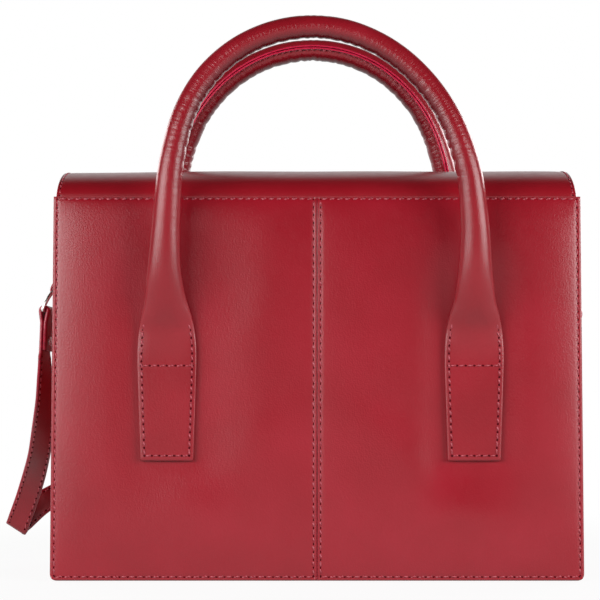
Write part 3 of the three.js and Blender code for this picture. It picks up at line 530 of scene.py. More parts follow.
def panel_sheet(name, x_lines, sign, back):
    """A main panel over grid lines given at its foot; sign is the way it faces."""
    z_lines = marks(0, HEIGHT, RIM, TOP_RIM, PANEL_STEP)
    u, z = np.meshgrid(x_lines / BASE_HALF, z_lines, indexing="ij")
    x = u * half_width(z)
    x, z = corner(x, z)
    outer = np.stack([x, sign * panel_skin(x, z, back), z], -1)
    inner = np.stack([x, np.full_like(x, sign * (FACE - LEATHER)), z], -1)
    return sheet_piece(name, outer, inner, PANEL, EDGE, 0.3)


for hand, side in (("left", -1), ("right", 1)):
    lines = side * marks(0.03, BASE_HALF, SEAM_RIM, RIM, PANEL_STEP)
    settle(panel_sheet("back_panel_" + hand + "_calf", lines, -1, True), "body", "back_panel_" + hand)
half_lines = marks(0, BASE_HALF, [0, 2], RIM, PANEL_STEP)
full_lines = np.concatenate([-half_lines[:0:-1], half_lines])
settle(panel_sheet("front_panel_calf", full_lines, 1, False), "body", "front_panel")


def panel_rows(sign, back):
    """Stitch rows of a main panel, lying on its skin: those round it, and those along its top."""
    rows, top = [], []
    out = np.array([0.0, sign, 0.0])

    def row(x, z, group=rows):
        x, z = np.broadcast_arrays(np.asarray(x, float), np.asarray(z, float))
        line = np.stack([x, sign * panel_skin(x, z, back), z], 1)
        group.append((line, np.tile(out, (len(line), 1))))

    tall = np.linspace(SEW_IN + 0.8, HEIGHT - 2.0, 120)
    for side in (-1, 1):
        row(side * (half_width(tall) - SEW_IN), tall)
        wide = np.linspace(SEAM_SEW if back else 0.0, half_width(0) - SEW_IN - 0.8, 90)
        row(side * wide, np.full_like(wide, SEW_IN))
        row(side * wide * 0.985, np.full_like(wide, HEIGHT - TOP_SEW), top)
        if back:
            row(np.full_like(tall, side * SEAM_SEW), tall)
    return rows, top


for side_name, sign in (("back", -1), ("front", 1)):
    around, along_top = panel_rows(sign, sign < 0)
    settle(stitching(side_name + "_panel_stitching", around, 5.15), "body")
    settle(stitching(side_name + "_top_stitching", along_top, 5.0, 0.6, 14.0, 0.3), "body")


# Gussets, base and linings

CUT_RIM = [0, 0.5, 2]    # grid lines in from a lining's cut edge


def inner_ply(line):
    """Inside of a sheet's section, one thickness in from its outside."""
    ahead = np.gradient(line, axis=0)
    return line + unit(np.stack([ahead[:, 1], -ahead[:, 0]], 1)) * LEATHER


def gusset_sheet(name, side):
    """Side gusset: a soft web that falls in slightly, turned in behind both panels at its edges."""
    turn = [(154.0, 52.6), (158, 53), (163, 53), (167, 53), (168.6, 52.7), (169.5, 52.0), (169.9, 50.8)]
    web = [(170.0, y) for y in np.linspace(48.5, -48.5, 27)]
    line = np.array(turn + web + [(x, -y) for x, y in reversed(turn)])
    deep = inner_ply(line)
    z_lines = marks(14.3, HEIGHT, [0, 0.6, 1.4, 3], [0, 0.6, 1.4, 3], 5)
    outer, inner = [], []
    for z in z_lines:
        sag = 1.25 * np.exp(-(line[:, 1] / 30) ** 2) * math.sin(math.pi * min(1, z / HEIGHT)) ** 0.7
        sag = sag * (1 + 0.5 * cloud(line[:, 1], z, side * 7.0, 45)) * (line[:, 0] > 169.95)
        lean = SIDE_SLOPE * z
        outer.append([(side * (x - lean - s), y, z) for (x, y), s in zip(line, sag)])
        inner.append([(side * (x - lean - s * 0.6), y, z) for (x, y), s in zip(deep, sag)])
    return sheet_piece(name, np.array(outer), np.array(inner), PANEL, EDGE, 0.3)


def gusset_foot(name, side):
    """Foot of a gusset: it goes on down between the turned-up edges of the base."""
    y_lines = marks(-50.6, 50.6, RIM[:4], RIM[:4], 6)
    z_lines = marks(2.0, 14.15, RIM[:4], RIM[:4], 3)
    y, z = np.meshgrid(y_lines, z_lines, indexing="ij")
    layers = [np.stack([side * (x - SIDE_SLOPE * z), y, z], -1) for x in (169.95, 168.3)]
    return sheet_piece(name, layers[0], layers[1], PANEL, EDGE, 0.3)


def flat_sheet(name, node, face, edge, crown):
    """A thin flat layer in the place of its solid, with a slight slackness."""
    low, high = (np.array(c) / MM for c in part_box(node))
    thin = int(np.argmin(high - low))
    a, b = [c for c in range(3) if c != thin]
    across = marks(low[a], high[a], CUT_RIM, CUT_RIM, 9)
    up = marks(low[b], high[b], CUT_RIM, CUT_RIM, 9)
    u, v = np.meshgrid(across, up, indexing="ij")
    hold = np.sin(np.pi * (u - low[a]) / (high[a] - low[a]))
    hold = hold * np.sin(np.pi * (v - low[b]) / (high[b] - low[b]))
    slack = crown * hold * (0.6 + 0.6 * cloud(u, v, thin * 4.0, 55))
    toward = -np.sign(low[thin] + high[thin]) if thin != 2 else 1.0
    faces = []
    for level in (low[thin], high[thin]):
        grid = np.zeros(u.shape + (3,))
        grid[..., a], grid[..., b] = u, v
        grid[..., thin] = level + toward * slack
        faces.append(grid)
    return settle(sheet_piece(name, faces[0], faces[1], face, edge, 0.15), "body", node)


for hand, side in (("left", -1), ("right", 1)):
    settle(gusset_sheet(hand + "_gusset_calf", side), "body", hand + "_gusset")
    settle(gusset_foot(hand + "_gusset_foot_calf", side), "body")
    z_lines = marks(5.2, 244.0, CUT_RIM, CUT_RIM, 8)
    y_lines = marks(-50.0, 50.0, CUT_RIM, CUT_RIM, 6)
    y, z = np.meshgrid(y_lines, z_lines, indexing="ij")
    slack = 0.7 * np.cos(y / 50 * 1.5) * np.sin(np.pi * z / HEIGHT)
    slack = slack * (1 + 0.5 * cloud(y, z, side * 3.0, 50))
    sides = [np.stack([side * (half_width(z) - inset - slack), y, z], -1) for inset in (4.6, 5.4)]
    lining = sheet_piece(hand + "_gusset_drill", sides[0], sides[1], DRILL, DRILL, 0.15)
    settle(lining, "body", hand + "_gusset_lining")

for wall in ("back", "front", "base"):
    drill = flat_sheet(wall + "_drill", wall + "_lining", DRILL, DRILL, 0.9)
flat_sheet("flap_root_calf", "flap_root", PANEL, EDGE, 0.0)
flat_sheet("middle_seam_tape_calf", "back_seam_tape", PANEL, EDGE, 0.0)


def base_sheet():
    """Base: a shallow tray of leather, its long edges turned up behind the panels."""
    turn = [(53.0, 14.0), (53.0, 13.2), (53.0, 9), (53, 5), (52.8, 2.2), (52.1, 0.9), (50.6, 0.15)]
    web = [(y, 0.0) for y in np.linspace(47, -47, 22)]
    line = np.array(turn + web + [(-y, z) for y, z in reversed(turn)])
    x_lines = marks(-169.5, 169.5, [0, 0.6, 2], [0, 0.6, 2], 8)
    outer = np.array([[(x, y, z) for y, z in line] for x in x_lines])
    inner = np.array([[(x, y, max(z, 0.4)) for y, z in inner_ply(line)] for x in x_lines])
    return sheet_piece("base_calf", outer, inner, PANEL, EDGE, 0.3)


settle(base_sheet(), "body", "base_panel")


# Flap

FLAP_HALF = 167.0        # half its length
FLAP_MID = 2.35          # middle of its arch over the mouth, toward the front
FLAP_REACH = 57.35       # half the width of the arch
FLAP_RISE = 18.5         # height of the arch
FLAP_SPRING = 246.2      # where the arch starts
END_SEW = 2.2            # stitch row in from its ends


def flap_line(depth):
    """Section of the flap at a depth under its outside, from the hinge over the mouth and down the lip. The
    outside starts low, where it is sewn down."""
    t = np.concatenate([[0.0, 0.02, 0.05], np.linspace(0.1, math.pi, 44)])
    y = FLAP_MID - (FLAP_REACH - depth) * np.cos(t)
    z = FLAP_SPRING + (FLAP_RISE - depth) * np.sin(t)
    if depth == 0:
        y[0], z[0] = -55.45, 245.1
    lip = np.concatenate([np.linspace(243, 226, 8), [224.4, 222.9, 222.2, 221.5, 220.6, 219.8, 219.2]])
    face = FLAP_MID + FLAP_REACH - depth
    return np.concatenate([y, np.full(len(lip), face)]), np.concatenate([z, lip])


def flap_sheet(name, top, bottom, face, edge, crown, closing):
    """A layer of the flap between two depths. Its outside is crowned, its inside comes down by closing at the
    rim to cover the board's edge, its ends draw in toward the top, and the left end sags."""
    lines = marks(-FLAP_HALF, FLAP_HALF, RIM, RIM, 4.2)
    grids = []
    (y0, z0), (y1, z1) = flap_line(top), flap_line(bottom)
    along = run_length(np.stack([y0, z0], 1))
    for y, z, skin in ((y0, z0, 1.0), (y1, z1, 0.0)):
        x, i = np.meshgrid(lines, np.arange(len(y)), indexing="ij")
        yy, zz = np.tile(y, (len(lines), 1)), np.tile(z, (len(lines), 1))
        reach = along[i]
        ny, nz = np.gradient(zz, axis=1), -np.gradient(yy, axis=1)
        size = np.maximum(np.hypot(ny, nz), 1e-9)
        ny, nz = -ny / size, -nz / size
        from_end, from_lip = FLAP_HALF - np.abs(x), along[-1] - reach
        hold = np.sin(np.pi * np.clip(reach / along[-1], 0, 1)) ** 0.6 * (1 - np.exp(-from_end / 8))
        lift = crown * skin * hold * (0.5 + 0.6 * cloud(x, reach, 12.0, 70))
        lift = lift - skin * (sewn_dip(from_end, END_SEW) + sewn_dip(from_lip))
        rim = 1 - smooth(1.7, 2.7, np.minimum(from_end, from_lip))
        lift = lift - (1 - skin) * closing * rim
        up = np.clip((zz - HEIGHT) / FLAP_RISE, 0, 1)
        taper = 1 - np.where(x > 0, 0.006 + 0.010 * up, 0.008 * up)
        sag = 0.9 * up * smooth(60, 160, -x)
        grids.append(np.stack([x * taper, yy + ny * lift, zz + nz * lift - sag], -1))
    return sheet_piece(name, grids[0], grids[1], face, edge, 0.4), grids[0], lines


flap, flap_skin, flap_lines = flap_sheet("flap_calf", 0.0, LEATHER, FLAP, EDGE, 0.7, 1.7)
settle(flap, "flap", "flap_leather")
under, _, _ = flap_sheet("flap_lining_calf", 3.6, 4.4, PANEL, EDGE, 0.0, 0.0)
settle(under, "flap", "flap_lining")


def flap_rows():
    """Stitch rows down both ends of the flap and along its lip."""
    rows = []
    slope = np.gradient(flap_skin, axis=1)
    out = unit(np.cross(np.broadcast_to((1.0, 0, 0), slope.shape), slope))
    for end in (-1, 1):
        j = int(np.argmin(np.abs(flap_lines - end * (FLAP_HALF - END_SEW))))
        rows.append((flap_skin[j, 2:-3], out[j, 2:-3]))
    k = flap_skin.shape[1] - 5
    pick = np.abs(flap_lines) < FLAP_HALF - END_SEW + 0.4
    rows.append((flap_skin[pick, k], out[pick, k]))
    return rows


settle(stitching("flap_stitching", flap_rows(), 5.0), "flap")


# Handles

TAB_FOOT = 77.0          # lower end of the tabs
TAB_FACE = 57.0          # middle of a tab's thickness, from the mid-plane, before the panel's seat
TAB_SEW = 80.6           # stitch row over a tab's foot
CROSS_SEW = 138.0        # stitch row across a tab
NECK_Z = 168.0           # where the leather lifts off the tab
GATHER_Z = 225.0         # where the gathers start
ARCH_Z = 250.0           # where the legs go over into the arch
TOP_Z = 353.0            # middle line at the top of the arch
RADIUS = 7.3             # of the roll
CORD_RADIUS = 5.0        # of the cord in it
FLANGE_Z = (260, 279)    # where the seam flange comes up out of the roll


def handle_reach(z):
    """Distance of the handle's middle from the mid-plane of the bag."""
    up = 4 * np.logaddexp(0, (z - NECK_Z + 7) / 4)
    bow = 12 * (1 - (1 + up / 11) * np.exp(-up / 11))
    seat = SEAT * (1 - smooth(200, TOP_Z, z))
    return TAB_FACE + seat + bow + 0.045 * up - 9 * smooth(ARCH_Z, TOP_Z, z)


def handle_drift(z, sign):
    """Sideways place of a handle: set off a little, and the top of the back one sways over."""
    return -sign * HANDLE_SHIFT - (5.2 * smooth(ARCH_Z, TOP_Z, z) if sign < 0 else 0.0)


def leg_bow(x, z, sign):
    """The left leg of the back handle bends a little outward above its tab."""
    return -1.1 * np.exp(-((z - 196) / 20) ** 2) * ((x < 0) & (sign < 0))


def handle_path():
    """Middle line of one handle from its left tab's foot to the right one's: across and up, with the arch a
    hair squarer than an ellipse, cut in steps of 1 mm, and the legs leaning in under it."""
    foot = np.concatenate([[0, 0.35, 0.9, 1.8, 2.9, 4.2], np.arange(6.5, 91, 2.6)]) + TAB_FOOT
    neck = np.arange(NECK_Z, ARCH_Z, 1.6)
    t = np.linspace(math.pi, 0, 1200)
    across, rise = (np.sign(v) * np.abs(v) ** (2 / 2.02) for v in (np.cos(t), np.sin(t)))
    arch = np.stack([TAB_X * across, ARCH_Z + (TOP_Z - ARCH_Z) * rise], 1)
    run = run_length(arch)
    even = np.linspace(0, run[-1], round(run[-1]))
    arch = np.stack([np.interp(even, run, arch[:, 0]), np.interp(even, run, arch[:, 1])], 1)
    up = np.concatenate([foot, neck])
    x = np.concatenate([np.full(len(up), -TAB_X), arch[:, 0], np.full(len(up), TAB_X)])
    z = np.concatenate([up, arch[:, 1], up[::-1]])
    return x * (1 - (0.036 + 0.017 * (x > 0)) * smooth(215, 285, z)), z


def eased(places, values, spread=4.0):
    """A table of values by height, with its corners rounded over a few millimetres."""
    fine = np.arange(places[0] - 30, places[-1] + 30, 0.5)
    raw = np.interp(fine, places, values)
    window = np.exp(-(np.arange(-40, 41) * 0.5 / spread) ** 2 / 2)
    soft = np.convolve(np.pad(raw, 40, mode="edge"), window / window.sum(), mode="valid")
    return lambda z: np.interp(z, fine, soft)


# Half width of tab, shoulders and roll by height; half thickness in the middle and at the sewn edges; how
# much of the width the thick middle takes.
HANDLE_WIDE = eased([70, 77, 110, 140, 151, 160, 167, 173, 179, 185, 192, 200, 208, 222, 250, 275, 305],
                    [16.8, 16.8, 18.0, 18.9, 18.8, 17.9, 16.6, 15.0, 13.2, 12.2, 11.4, 10.5, 9.9, 9.1,
                     8.3, 7.8, 7.3], 3.0)
HANDLE_THICK = eased([70, 143, 152, 160, 168, 176, 186, 200, 260],
                     [1.8, 1.8, 2.6, 3.8, 5.2, 6.3, 7.0, 7.3, 7.3], 3.0)
HANDLE_WING = eased([70, 154, 162, 168, 174, 180, 188, 200, 260],
                    [1.8, 1.8, 2.0, 2.8, 4.2, 5.8, 6.8, 7.3, 7.3], 3.0)
HANDLE_CORE = eased([70, 140, 160, 176, 200, 260], [0.62, 0.62, 0.5, 0.42, 0.3, 0.3])


def thick_share(z, width):
    """How far a place, at a share of a handle's half width, lies in its thick middle, from 0 to 1."""
    return np.clip((0.98 - width) / (0.98 - HANDLE_CORE(z)), 0, 1)


def gathers(lap, inner, share, seed):
    """How far the roll stands out or in at a distance from its top: pleats and small folds on the inside of
    the arch, four kinks at the top, and a slow drift."""
    pleat = abs(math.sin(math.pi * lap / 8.5 + 3.2 * noise.noise(Vector((lap / 21, seed, 0)))))
    depth = 0.55 + 0.6 * noise.noise(Vector((lap / 30, seed + 8, 0)))
    fold = noise.noise(Vector((lap / 3.4, seed + 5, 0)))
    pleats = share * inner * (depth * (pleat ** 0.6 - 0.6) + 0.16 * fold)
    kink = sum(0.42 * math.exp(-((lap - p) / 1.1) ** 2) for p in (-7.5, -3.0, 1.2, 6.0))
    drift = 0.16 * noise.noise(Vector((lap / 24, seed + 2, 0)))
    return pleats - kink * (0.35 + 0.65 * inner) * share + drift


def handle_rows(sign, seed):
    """Sections of a handle: flat sewn tab, shoulders, then the round roll, gathered inside its arch. With
    them go its middle line, the ways out of the bag and into the arch, and the distance along."""
    x, z = handle_path()
    middle = np.stack([x + handle_drift(z, sign) + leg_bow(x, z, sign), sign * handle_reach(z), z], 1)
    ahead = unit(np.gradient(middle, axis=0))
    flat = z < NECK_Z - 22
    ahead[flat] = np.stack([np.zeros(flat.sum()), np.zeros(flat.sum()), np.sign(-x[flat])], 1)
    out = np.tile((0.0, sign, 0.0), (len(x), 1))
    out = unit(out - ahead * (ahead * out).sum(1, keepdims=True))
    inside = np.cross(ahead, out) * -sign
    along = run_length(middle)
    half = along[-1] / 2
    wide, thick, wing = HANDLE_WIDE(z), HANDLE_THICK(z), HANDLE_WING(z)
    power = 2 + 5 * (1 - smooth(154, 180, z))
    end = np.minimum(z - TAB_FOOT, 3.0)
    close = np.sqrt(np.clip(1 - (1 - np.clip(end / 1.6, 0, 1)) ** 2, 0.04, 1))
    turn = once_round(60)
    c, s = np.cos(turn), np.sin(turn)
    rows = []
    for i in range(len(x)):
        e = 2 / power[i]
        w = wide[i] * np.sign(c) * np.abs(c) ** e
        h = wing[i] * np.sign(s) * np.abs(s) ** e * close[i]
        bulk = (thick[i] - wing[i]) * thick_share(z[i], np.abs(w) / wide[i]) * np.abs(s) ** 0.5
        h = h + np.where(s > 0, bulk, -bulk * float(smooth(NECK_Z + 2, NECK_Z + 28, z[i])))
        w = w - np.sign(w) * (1 - close[i]) * 0.6
        if z[i] > GATHER_Z:
            share = float(smooth(GATHER_Z, 285, z[i]))
            inner = np.clip(w / wide[i], 0, 1) ** 1.5
            scale = 1 + gathers(along[i] - half, inner, share, seed) / RADIUS
            w, h = w * scale, h * scale
        rows.append(middle[i] + np.outer(w, inside[i]) + np.outer(h, out[i]))
    return np.array(rows), middle, out, inside, along


def handle_seam(name, sign, middle, out, inside, along):
    """Seam flange of a rolled handle: two leather edges sewn together, facing the other handle. Gives its
    plies and the rows of its stitches."""
    spots = np.where(middle[:, 2] > FLANGE_Z[0] - 2)[0]
    lean = math.radians(7)
    way = -out * math.cos(lean) - inside * math.sin(lean)
    flank = inside * math.cos(lean) - out * math.sin(lean)
    plies = []
    for ply, offset in (("upper", -0.85), ("lower", 0.85)):
        rows = []
        for i in spots:
            proud = 0.2 + 3.8 * float(smooth(*FLANGE_Z, middle[i, 2]))
            ripple = 0.22 * noise.noise(Vector((along[i] / 6, offset, sign)))
            base, tip = RADIUS - 1.2, RADIUS + proud + ripple
            mid = offset + 0.1 * noise.noise(Vector((along[i] / 9, offset, 3)))
            shape = [(base, -0.65), (tip - 0.5, -0.65), (tip - 0.12, -0.45), (tip, 0.0), (tip - 0.12, 0.45),
                     (tip - 0.5, 0.65), (base, 0.65)]
            rows.append([middle[i] + way[i] * r + flank[i] * (mid + f) for r, f in shape])
        plies.append(swept_piece(name + "_" + ply, rows, [ROLLED, PAINTED_LIGHT_EDGE],
                                 lambda k: 1 if 1 <= k <= 4 else 0))
    sew = []
    pick = [i for i in spots[::2] if middle[i, 2] > 272]
    for face in (-1, 1):
        line = []
        for i in pick:
            proud = RADIUS + 1.9 * float(smooth(*FLANGE_Z, middle[i, 2]))
            line.append(middle[i] + way[i] * proud + flank[i] * face * 1.5)
        sew.append((np.array(line), flank[pick] * face))
    return plies, sew


def tab_rows(sign):
    """Stitches of a handle tab: two sides, the foot, and the cross row under the shoulders."""
    rows = []
    for x0 in (-TAB_X - sign * HANDLE_SHIFT, TAB_X - sign * HANDLE_SHIFT):
        z = np.linspace(TAB_SEW, 165.5, 40)
        edge = HANDLE_WIDE(z) - SEW_IN
        face = sign * (TAB_FACE + SEAT + LEATHER)
        crown = (HANDLE_THICK(z) - HANDLE_WING(z)) * thick_share(z, edge / HANDLE_WIDE(z))
        out = np.array([0.0, sign, 0.0])
        for side in (-1, 1):
            lift = handle_reach(z) - TAB_FACE - SEAT + crown
            line = np.stack([x0 + side * edge, face + sign * lift, z], 1)
            rows.append((line, np.tile(out, (len(line), 1))))
        for height, reach in ((TAB_SEW, 14.2), (CROSS_SEW, 16.5)):
            across = np.linspace(x0 - reach, x0 + reach, 12)
            line = np.stack([across, np.full(12, face), np.full(12, height)], 1)
            rows.append((line, np.tile(out, (12, 1))))
    return rows


for side_name, sign, seed in (("back", -1, 2.0), ("front", 1, 31.0)):
    name = side_name + "_handle"
    rows, middle, out, inside, along = handle_rows(sign, seed)
    roll = swept_piece(name + "_calf", rows, [ROLLED])
    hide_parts(name + "_cover", name + "_tab_left", name + "_tab_right")
    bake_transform(roll)
    cord_round = CORD_RADIUS * np.stack([np.cos(once_round(16)), np.sin(once_round(16))], 1)
    cord_rows = [middle[i] + cord_round @ np.stack([inside[i], out[i]])
                 for i in range(0, len(middle), 3) if middle[i, 2] > 217]
    settle(swept_piece(name + "_cord", cord_rows, [CORD]), name, name + "_core")
    plies, sew = handle_seam(name + "_seam", sign, middle, out, inside, along)
    for ply in plies:
        settle(ply, name)
    settle(stitching(name + "_seam_stitching", sew, 4.2, 0.32, 11.0, 0.3), name)
    settle(stitching(side_name + "_tab_stitching", tab_rows(sign), 5.1), "body")


# Shoulder strap, side tabs and metal

STRAP_WIDE, STRAP_THICK = 16.0, 2.2
WIRE = 1.25              # half the thickness of a ring's wire
PIVOT_Z = 203.0          # rivet of a side tab
TAB_IN = 168.41          # inside of a side tab, from the mid-plane
TAB_TOP = 211.0
TAB_PLY = 1.3            # thickness of its leather
LOOP_Z = 186.3           # middle of its loop
LOOPS = {-1: 2.8, 1: 1.9}  # half bore of the loops: pulled open on the left, close on the right


def ring_frame(side, turn, tilt):
    """A ring's bar, the way out from the bag, the strap's hang, the bar's place, and the ring's own hang."""
    turn, tilt = math.radians(turn), math.radians(tilt)
    down = np.array([side * math.sin(tilt), 0, -math.cos(tilt)])
    level = np.array([-math.sin(turn), side * math.cos(turn), 0])
    bar = unit(level - down * level.dot(down))
    away = unit(np.cross(bar, (0, 0, 1)))
    hang = np.cross(bar, away)
    foot = np.array([side * (TAB_IN + LOOPS[side] + 1.2), 0, LOOP_Z]) + down * 15.5
    return bar, away, hang, foot, down


def strap_end(ring):
    """Turned end of the strap round a ring's bar."""
    bar, away, hang, foot, _ = ring
    bend, closed, tail = WIRE + 0.3 + STRAP_THICK / 2, 1.25, 26.0
    angles = [math.pi * (1 - i / 12) for i in range(13)]
    spots = [(-closed, -tail), (-closed, -3 * bend)]
    spots += [(bend * math.cos(t), bend * math.sin(t)) for t in angles]
    spots += [(closed, -3 * bend), (closed, -tail - closed)]
    return [(foot + away * u - hang * v, bar) for u, v in spots]


def free_run(start, guides, stop, steps):
    """Strap between two places, on a smooth curve through chosen points, turning evenly."""
    spots = [start] + [(np.array(g[:3], float), unit(g[3:])) for g in guides] + [stop]
    p = np.array([s[0] for s in spots])
    p = np.vstack([2 * p[0] - p[1], p, 2 * p[-1] - p[-2]])
    made = []
    for i in range(1, steps):
        place = i / steps * (len(spots) - 1)
        k = min(len(spots) - 2, int(place))
        w = place - k
        a, b, c, d = p[k], p[k + 1], p[k + 2], p[k + 3]
        s0, s1, s2 = (max(np.linalg.norm(v) ** 0.5, 1e-4) for v in (b - a, c - b, d - c))
        t1 = ((b - a) / s0 - (c - a) / (s0 + s1) + (c - b) / s1) * s1
        t2 = ((c - b) / s1 - (d - b) / (s1 + s2) + (d - c) / s2) * s1
        point = b + t1 * w + (-3 * b + 3 * c - 2 * t1 - t2) * w ** 2 + (2 * b - 2 * c + t1 + t2) * w ** 3
        share = w * w * (3 - 2 * w)
        made.append((point, unit(spots[k][1] * (1 - share) + spots[k + 1][1] * share)))
    return made


LEFT_RING = ring_frame(-1, 18, 22)
RIGHT_RING = ring_frame(1, 0, 2)

# Places on the free strap's middle line, each with the way that its width lies.
LEFT_GUIDES = [(-181.5, 12, 118, -0.5, -0.85, 0.1), (-189, 46, 76, -0.72, -0.6, 0.3),
               (-199, 68, 46, -0.82, -0.25, 0.48)]
REAR_GUIDES = [(-188, 85, 40, -0.69, 0, 0.72), (-158, 108, 49, -0.3, 0, 0.95), (-110, 136, 48, 0, 0, 1),
               (-55, 155, 47, 0, 0, 1), (0, 162, 47, 0, 0, 1), (60, 159, 49, 0, 0, 1),
               (115, 142, 54, 0, 0, 1), (154, 110, 72, 0.05, 0.3, 0.95), (174, 64, 102, 0.02, 0.72, 0.69),
               (174.2, 22, 126, 0, 0.97, 0.24)]


def strap_places():
    """The strap from ring to ring: a turned end, a run down, a fold, the long run behind the bag, an end."""
    left, right = strap_end(LEFT_RING), strap_end(RIGHT_RING)[::-1]
    fold_line, fold_in = unit((-0.84, 0, 0.54)), unit((-0.29, 0.3, -0.91))
    depth = unit(np.cross(fold_in, fold_line))
    over = np.cross(fold_line, depth)
    middle, radius = np.array([-208, 80, 22.5]), 2.4
    fold = [(middle - depth * radius * math.cos(math.pi * i / 10)
             + over * radius * math.sin(math.pi * i / 10), fold_line) for i in range(11)]
    return (left + free_run(left[-1], LEFT_GUIDES, fold[0], 36) + fold
            + free_run(fold[-1], REAR_GUIDES, right[0], 110) + right)


def ribbon_rows(places, width, thick):
    """Rounded flat sections along places, with both faces' directions."""
    point = np.array([p for p, _ in places])
    wide = np.array([w for _, w in places])
    ahead = unit(np.vstack([point[1] - point[0], point[2:] - point[:-2], point[-1] - point[-2]]))
    out = unit(np.cross(ahead, wide))
    square = np.abs((np.cross(out, ahead) * wide).sum(1))
    half = wide * (width / 2 / np.maximum(0.5, square))[:, None]
    r = thick / 2
    face = [(1, 0.45), (0.93, 0.96), (0.6, 1.0), (0, 1.03), (-0.6, 1.0), (-0.93, 0.96), (-1, 0.45)]
    shape = face + [(-a, -b) for a, b in face]
    rows = np.array([[p + h * a + n * b * r for a, b in shape] for p, h, n in zip(point, half, out)])
    return rows, point, half, out


strap_rows, strap_mid, strap_half, strap_out = ribbon_rows(strap_places(), STRAP_WIDE, STRAP_THICK)
strap = swept_piece("strap_calf", strap_rows, [STRAP, EDGE], lambda k: 1 if k in (0, 5, 6, 7, 12, 13) else 0)
settle(strap, "strap", "strap")
sewn = []
free = slice(17, -17)    # the strap without its turned ends
for edge in (-0.74, 0.74):
    for face in (-1, 1):
        out = strap_out[free] * face
        sewn.append((strap_mid[free] + strap_half[free] * edge + out * STRAP_THICK / 2, out))
settle(stitching("strap_stitching", sewn, 5.0, 0.36), "strap")


def side_tab(name, side):
    """Side tab: a leather tongue folded round the ring, narrow at the fold, both plies under one rivet."""
    loop = LOOPS[side] + TAB_PLY / 2
    near, far = TAB_IN + TAB_PLY / 2, TAB_IN + 3.4 - TAB_PLY / 2
    centre = TAB_IN + LOOPS[side] + TAB_PLY
    shut = 197.0

    def opening(ply, edge, heights):
        return [(ply + (edge - ply) * float(smooth(shut, LOOP_Z, z)), z) for z in heights]

    spots = [(far, z) for z in np.linspace(TAB_TOP, shut, 8)]
    spots += opening(far, centre + loop, np.linspace(195.5, 187.2, 8))
    spots += [(centre + loop * math.cos(t), LOOP_Z - loop * math.sin(t)) for t in np.linspace(0, math.pi, 15)]
    spots += opening(near, centre - loop, np.linspace(187.5, 195.5, 8))
    spots += [(near, z) for z in np.linspace(shut, TAB_TOP, 8)]
    face = [(1, 0.3), (0.93, 0.92), (0.5, 1), (-0.5, 1), (-0.93, 0.92), (-1, 0.3)]
    shape = face + [(-a, -b) for a, b in face]
    rows = []
    spots = np.array(spots)
    ahead = unit(np.gradient(spots, axis=0))
    for (x, z), go in zip(spots, ahead):
        half = 2.8 + 4.2 * float(smooth(188, 200, z)) - 1.2 * float(smooth(208.5, TAB_TOP, z))
        out = np.array([-go[1], go[0]]) * TAB_PLY / 2
        rows.append([(side * (x + out[0] * b), half * a, z + out[1] * b) for a, b in shape])
    return swept_piece(name, rows, [STRAP, EDGE], lambda k: 1 if k in (0, 4, 5, 6, 10, 11) else 0)


def rivet(name, centre, axis, low, high, head, rise, shank, foot, drop):
    """Double-capped rivet: a domed head, a shank and a flatter cap behind."""
    profile = [(0.02, low - drop), (foot * 0.5, low - drop * 0.92), (foot * 0.85, low - drop * 0.66),
               (foot, low - drop * 0.3), (foot * 0.98, low), (shank, low), (shank, high), (head * 0.97, high),
               (head, high + rise * 0.25), (head * 0.9, high + rise * 0.58),
               (head * 0.66, high + rise * 0.84), (head * 0.35, high + rise * 0.97), (0.02, high + rise)]
    return turned_piece(name, profile, centre, axis, NICKEL)


def d_ring(name, ring):
    """D-ring of round wire: a half-elliptic arch in the tab's loop, with a straight bar for the strap."""
    bar, _, _, foot, down = ring
    half, arch, drop = 9.75, 13.0, 2.5
    t = np.linspace(-math.pi / 2, 1.5 * math.pi, 121)
    c, s = np.cos(t), np.sin(t)
    across = half * np.where(s < 0, np.sign(c) * np.abs(c) ** 0.3, c)
    fall = np.where(s < 0, drop * np.abs(s) ** 0.3, -arch * s)
    line = foot - down * drop + np.outer(across, bar) + np.outer(fall, down)
    ahead = unit(np.vstack([line[1] - line[-2], line[2:] - line[:-2], line[1] - line[-2]]))
    level = np.cross(down, bar)
    flank = np.cross(ahead, level)
    turn = once_round(14)
    rows = [p + WIRE * (np.outer(np.cos(turn), level) + np.outer(np.sin(turn), f))
            for p, f in zip(line, flank)]
    return swept_piece(name, rows, [NICKEL], ends=False)


for hand, side, ring in (("left", -1, LEFT_RING), ("right", 1, RIGHT_RING)):
    settle(side_tab(hand + "_side_tab_calf", side), "strap", hand + "_side_tab")
    pin = rivet(hand + "_tab_rivet", (0, 0, PIVOT_Z), (side, 0, 0), 165.94, 172.01, 3.6, 1.6, 1.5, 3.2, 0.9)
    settle(pin, "body", hand + "_tab_pivot")
    _, away, hang, foot, _ = ring
    cap = rivet(hand + "_strap_rivet_cap", foot + hang * 19.5, away, -2.55, 2.55, 3.2, 0.7, 1.2, 3.2, 0.7)
    settle(cap, "strap", hand + "_strap_rivet")
    settle(d_ring(hand + "_wire_ring", ring), "strap", hand + "_ring")

# The boards and magnets keep their solids, with a material by the end of their names.
finishes = {"board": BOARD, "stiffener": BOARD, "magnet": NICKEL}
for name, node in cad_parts.items():
    for ending, material in finishes.items():
        if name.endswith(ending):
            node.data.materials.clear()
            node.data.materials.append(material)


# Camera, floor and light

scene = bpy.context.scene
scene.view_settings.view_transform = "Standard"
camera = bpy.data.objects.new("camera", bpy.data.cameras.new("camera"))
camera.data.lens, camera.data.sensor_width = 136.9, 36.0
camera.location = (-0.0109, -1.515, 0.1798)
camera.rotation_euler = (math.radians(90), 0, 0)
scene.collection.objects.link(camera)
scene.camera = camera


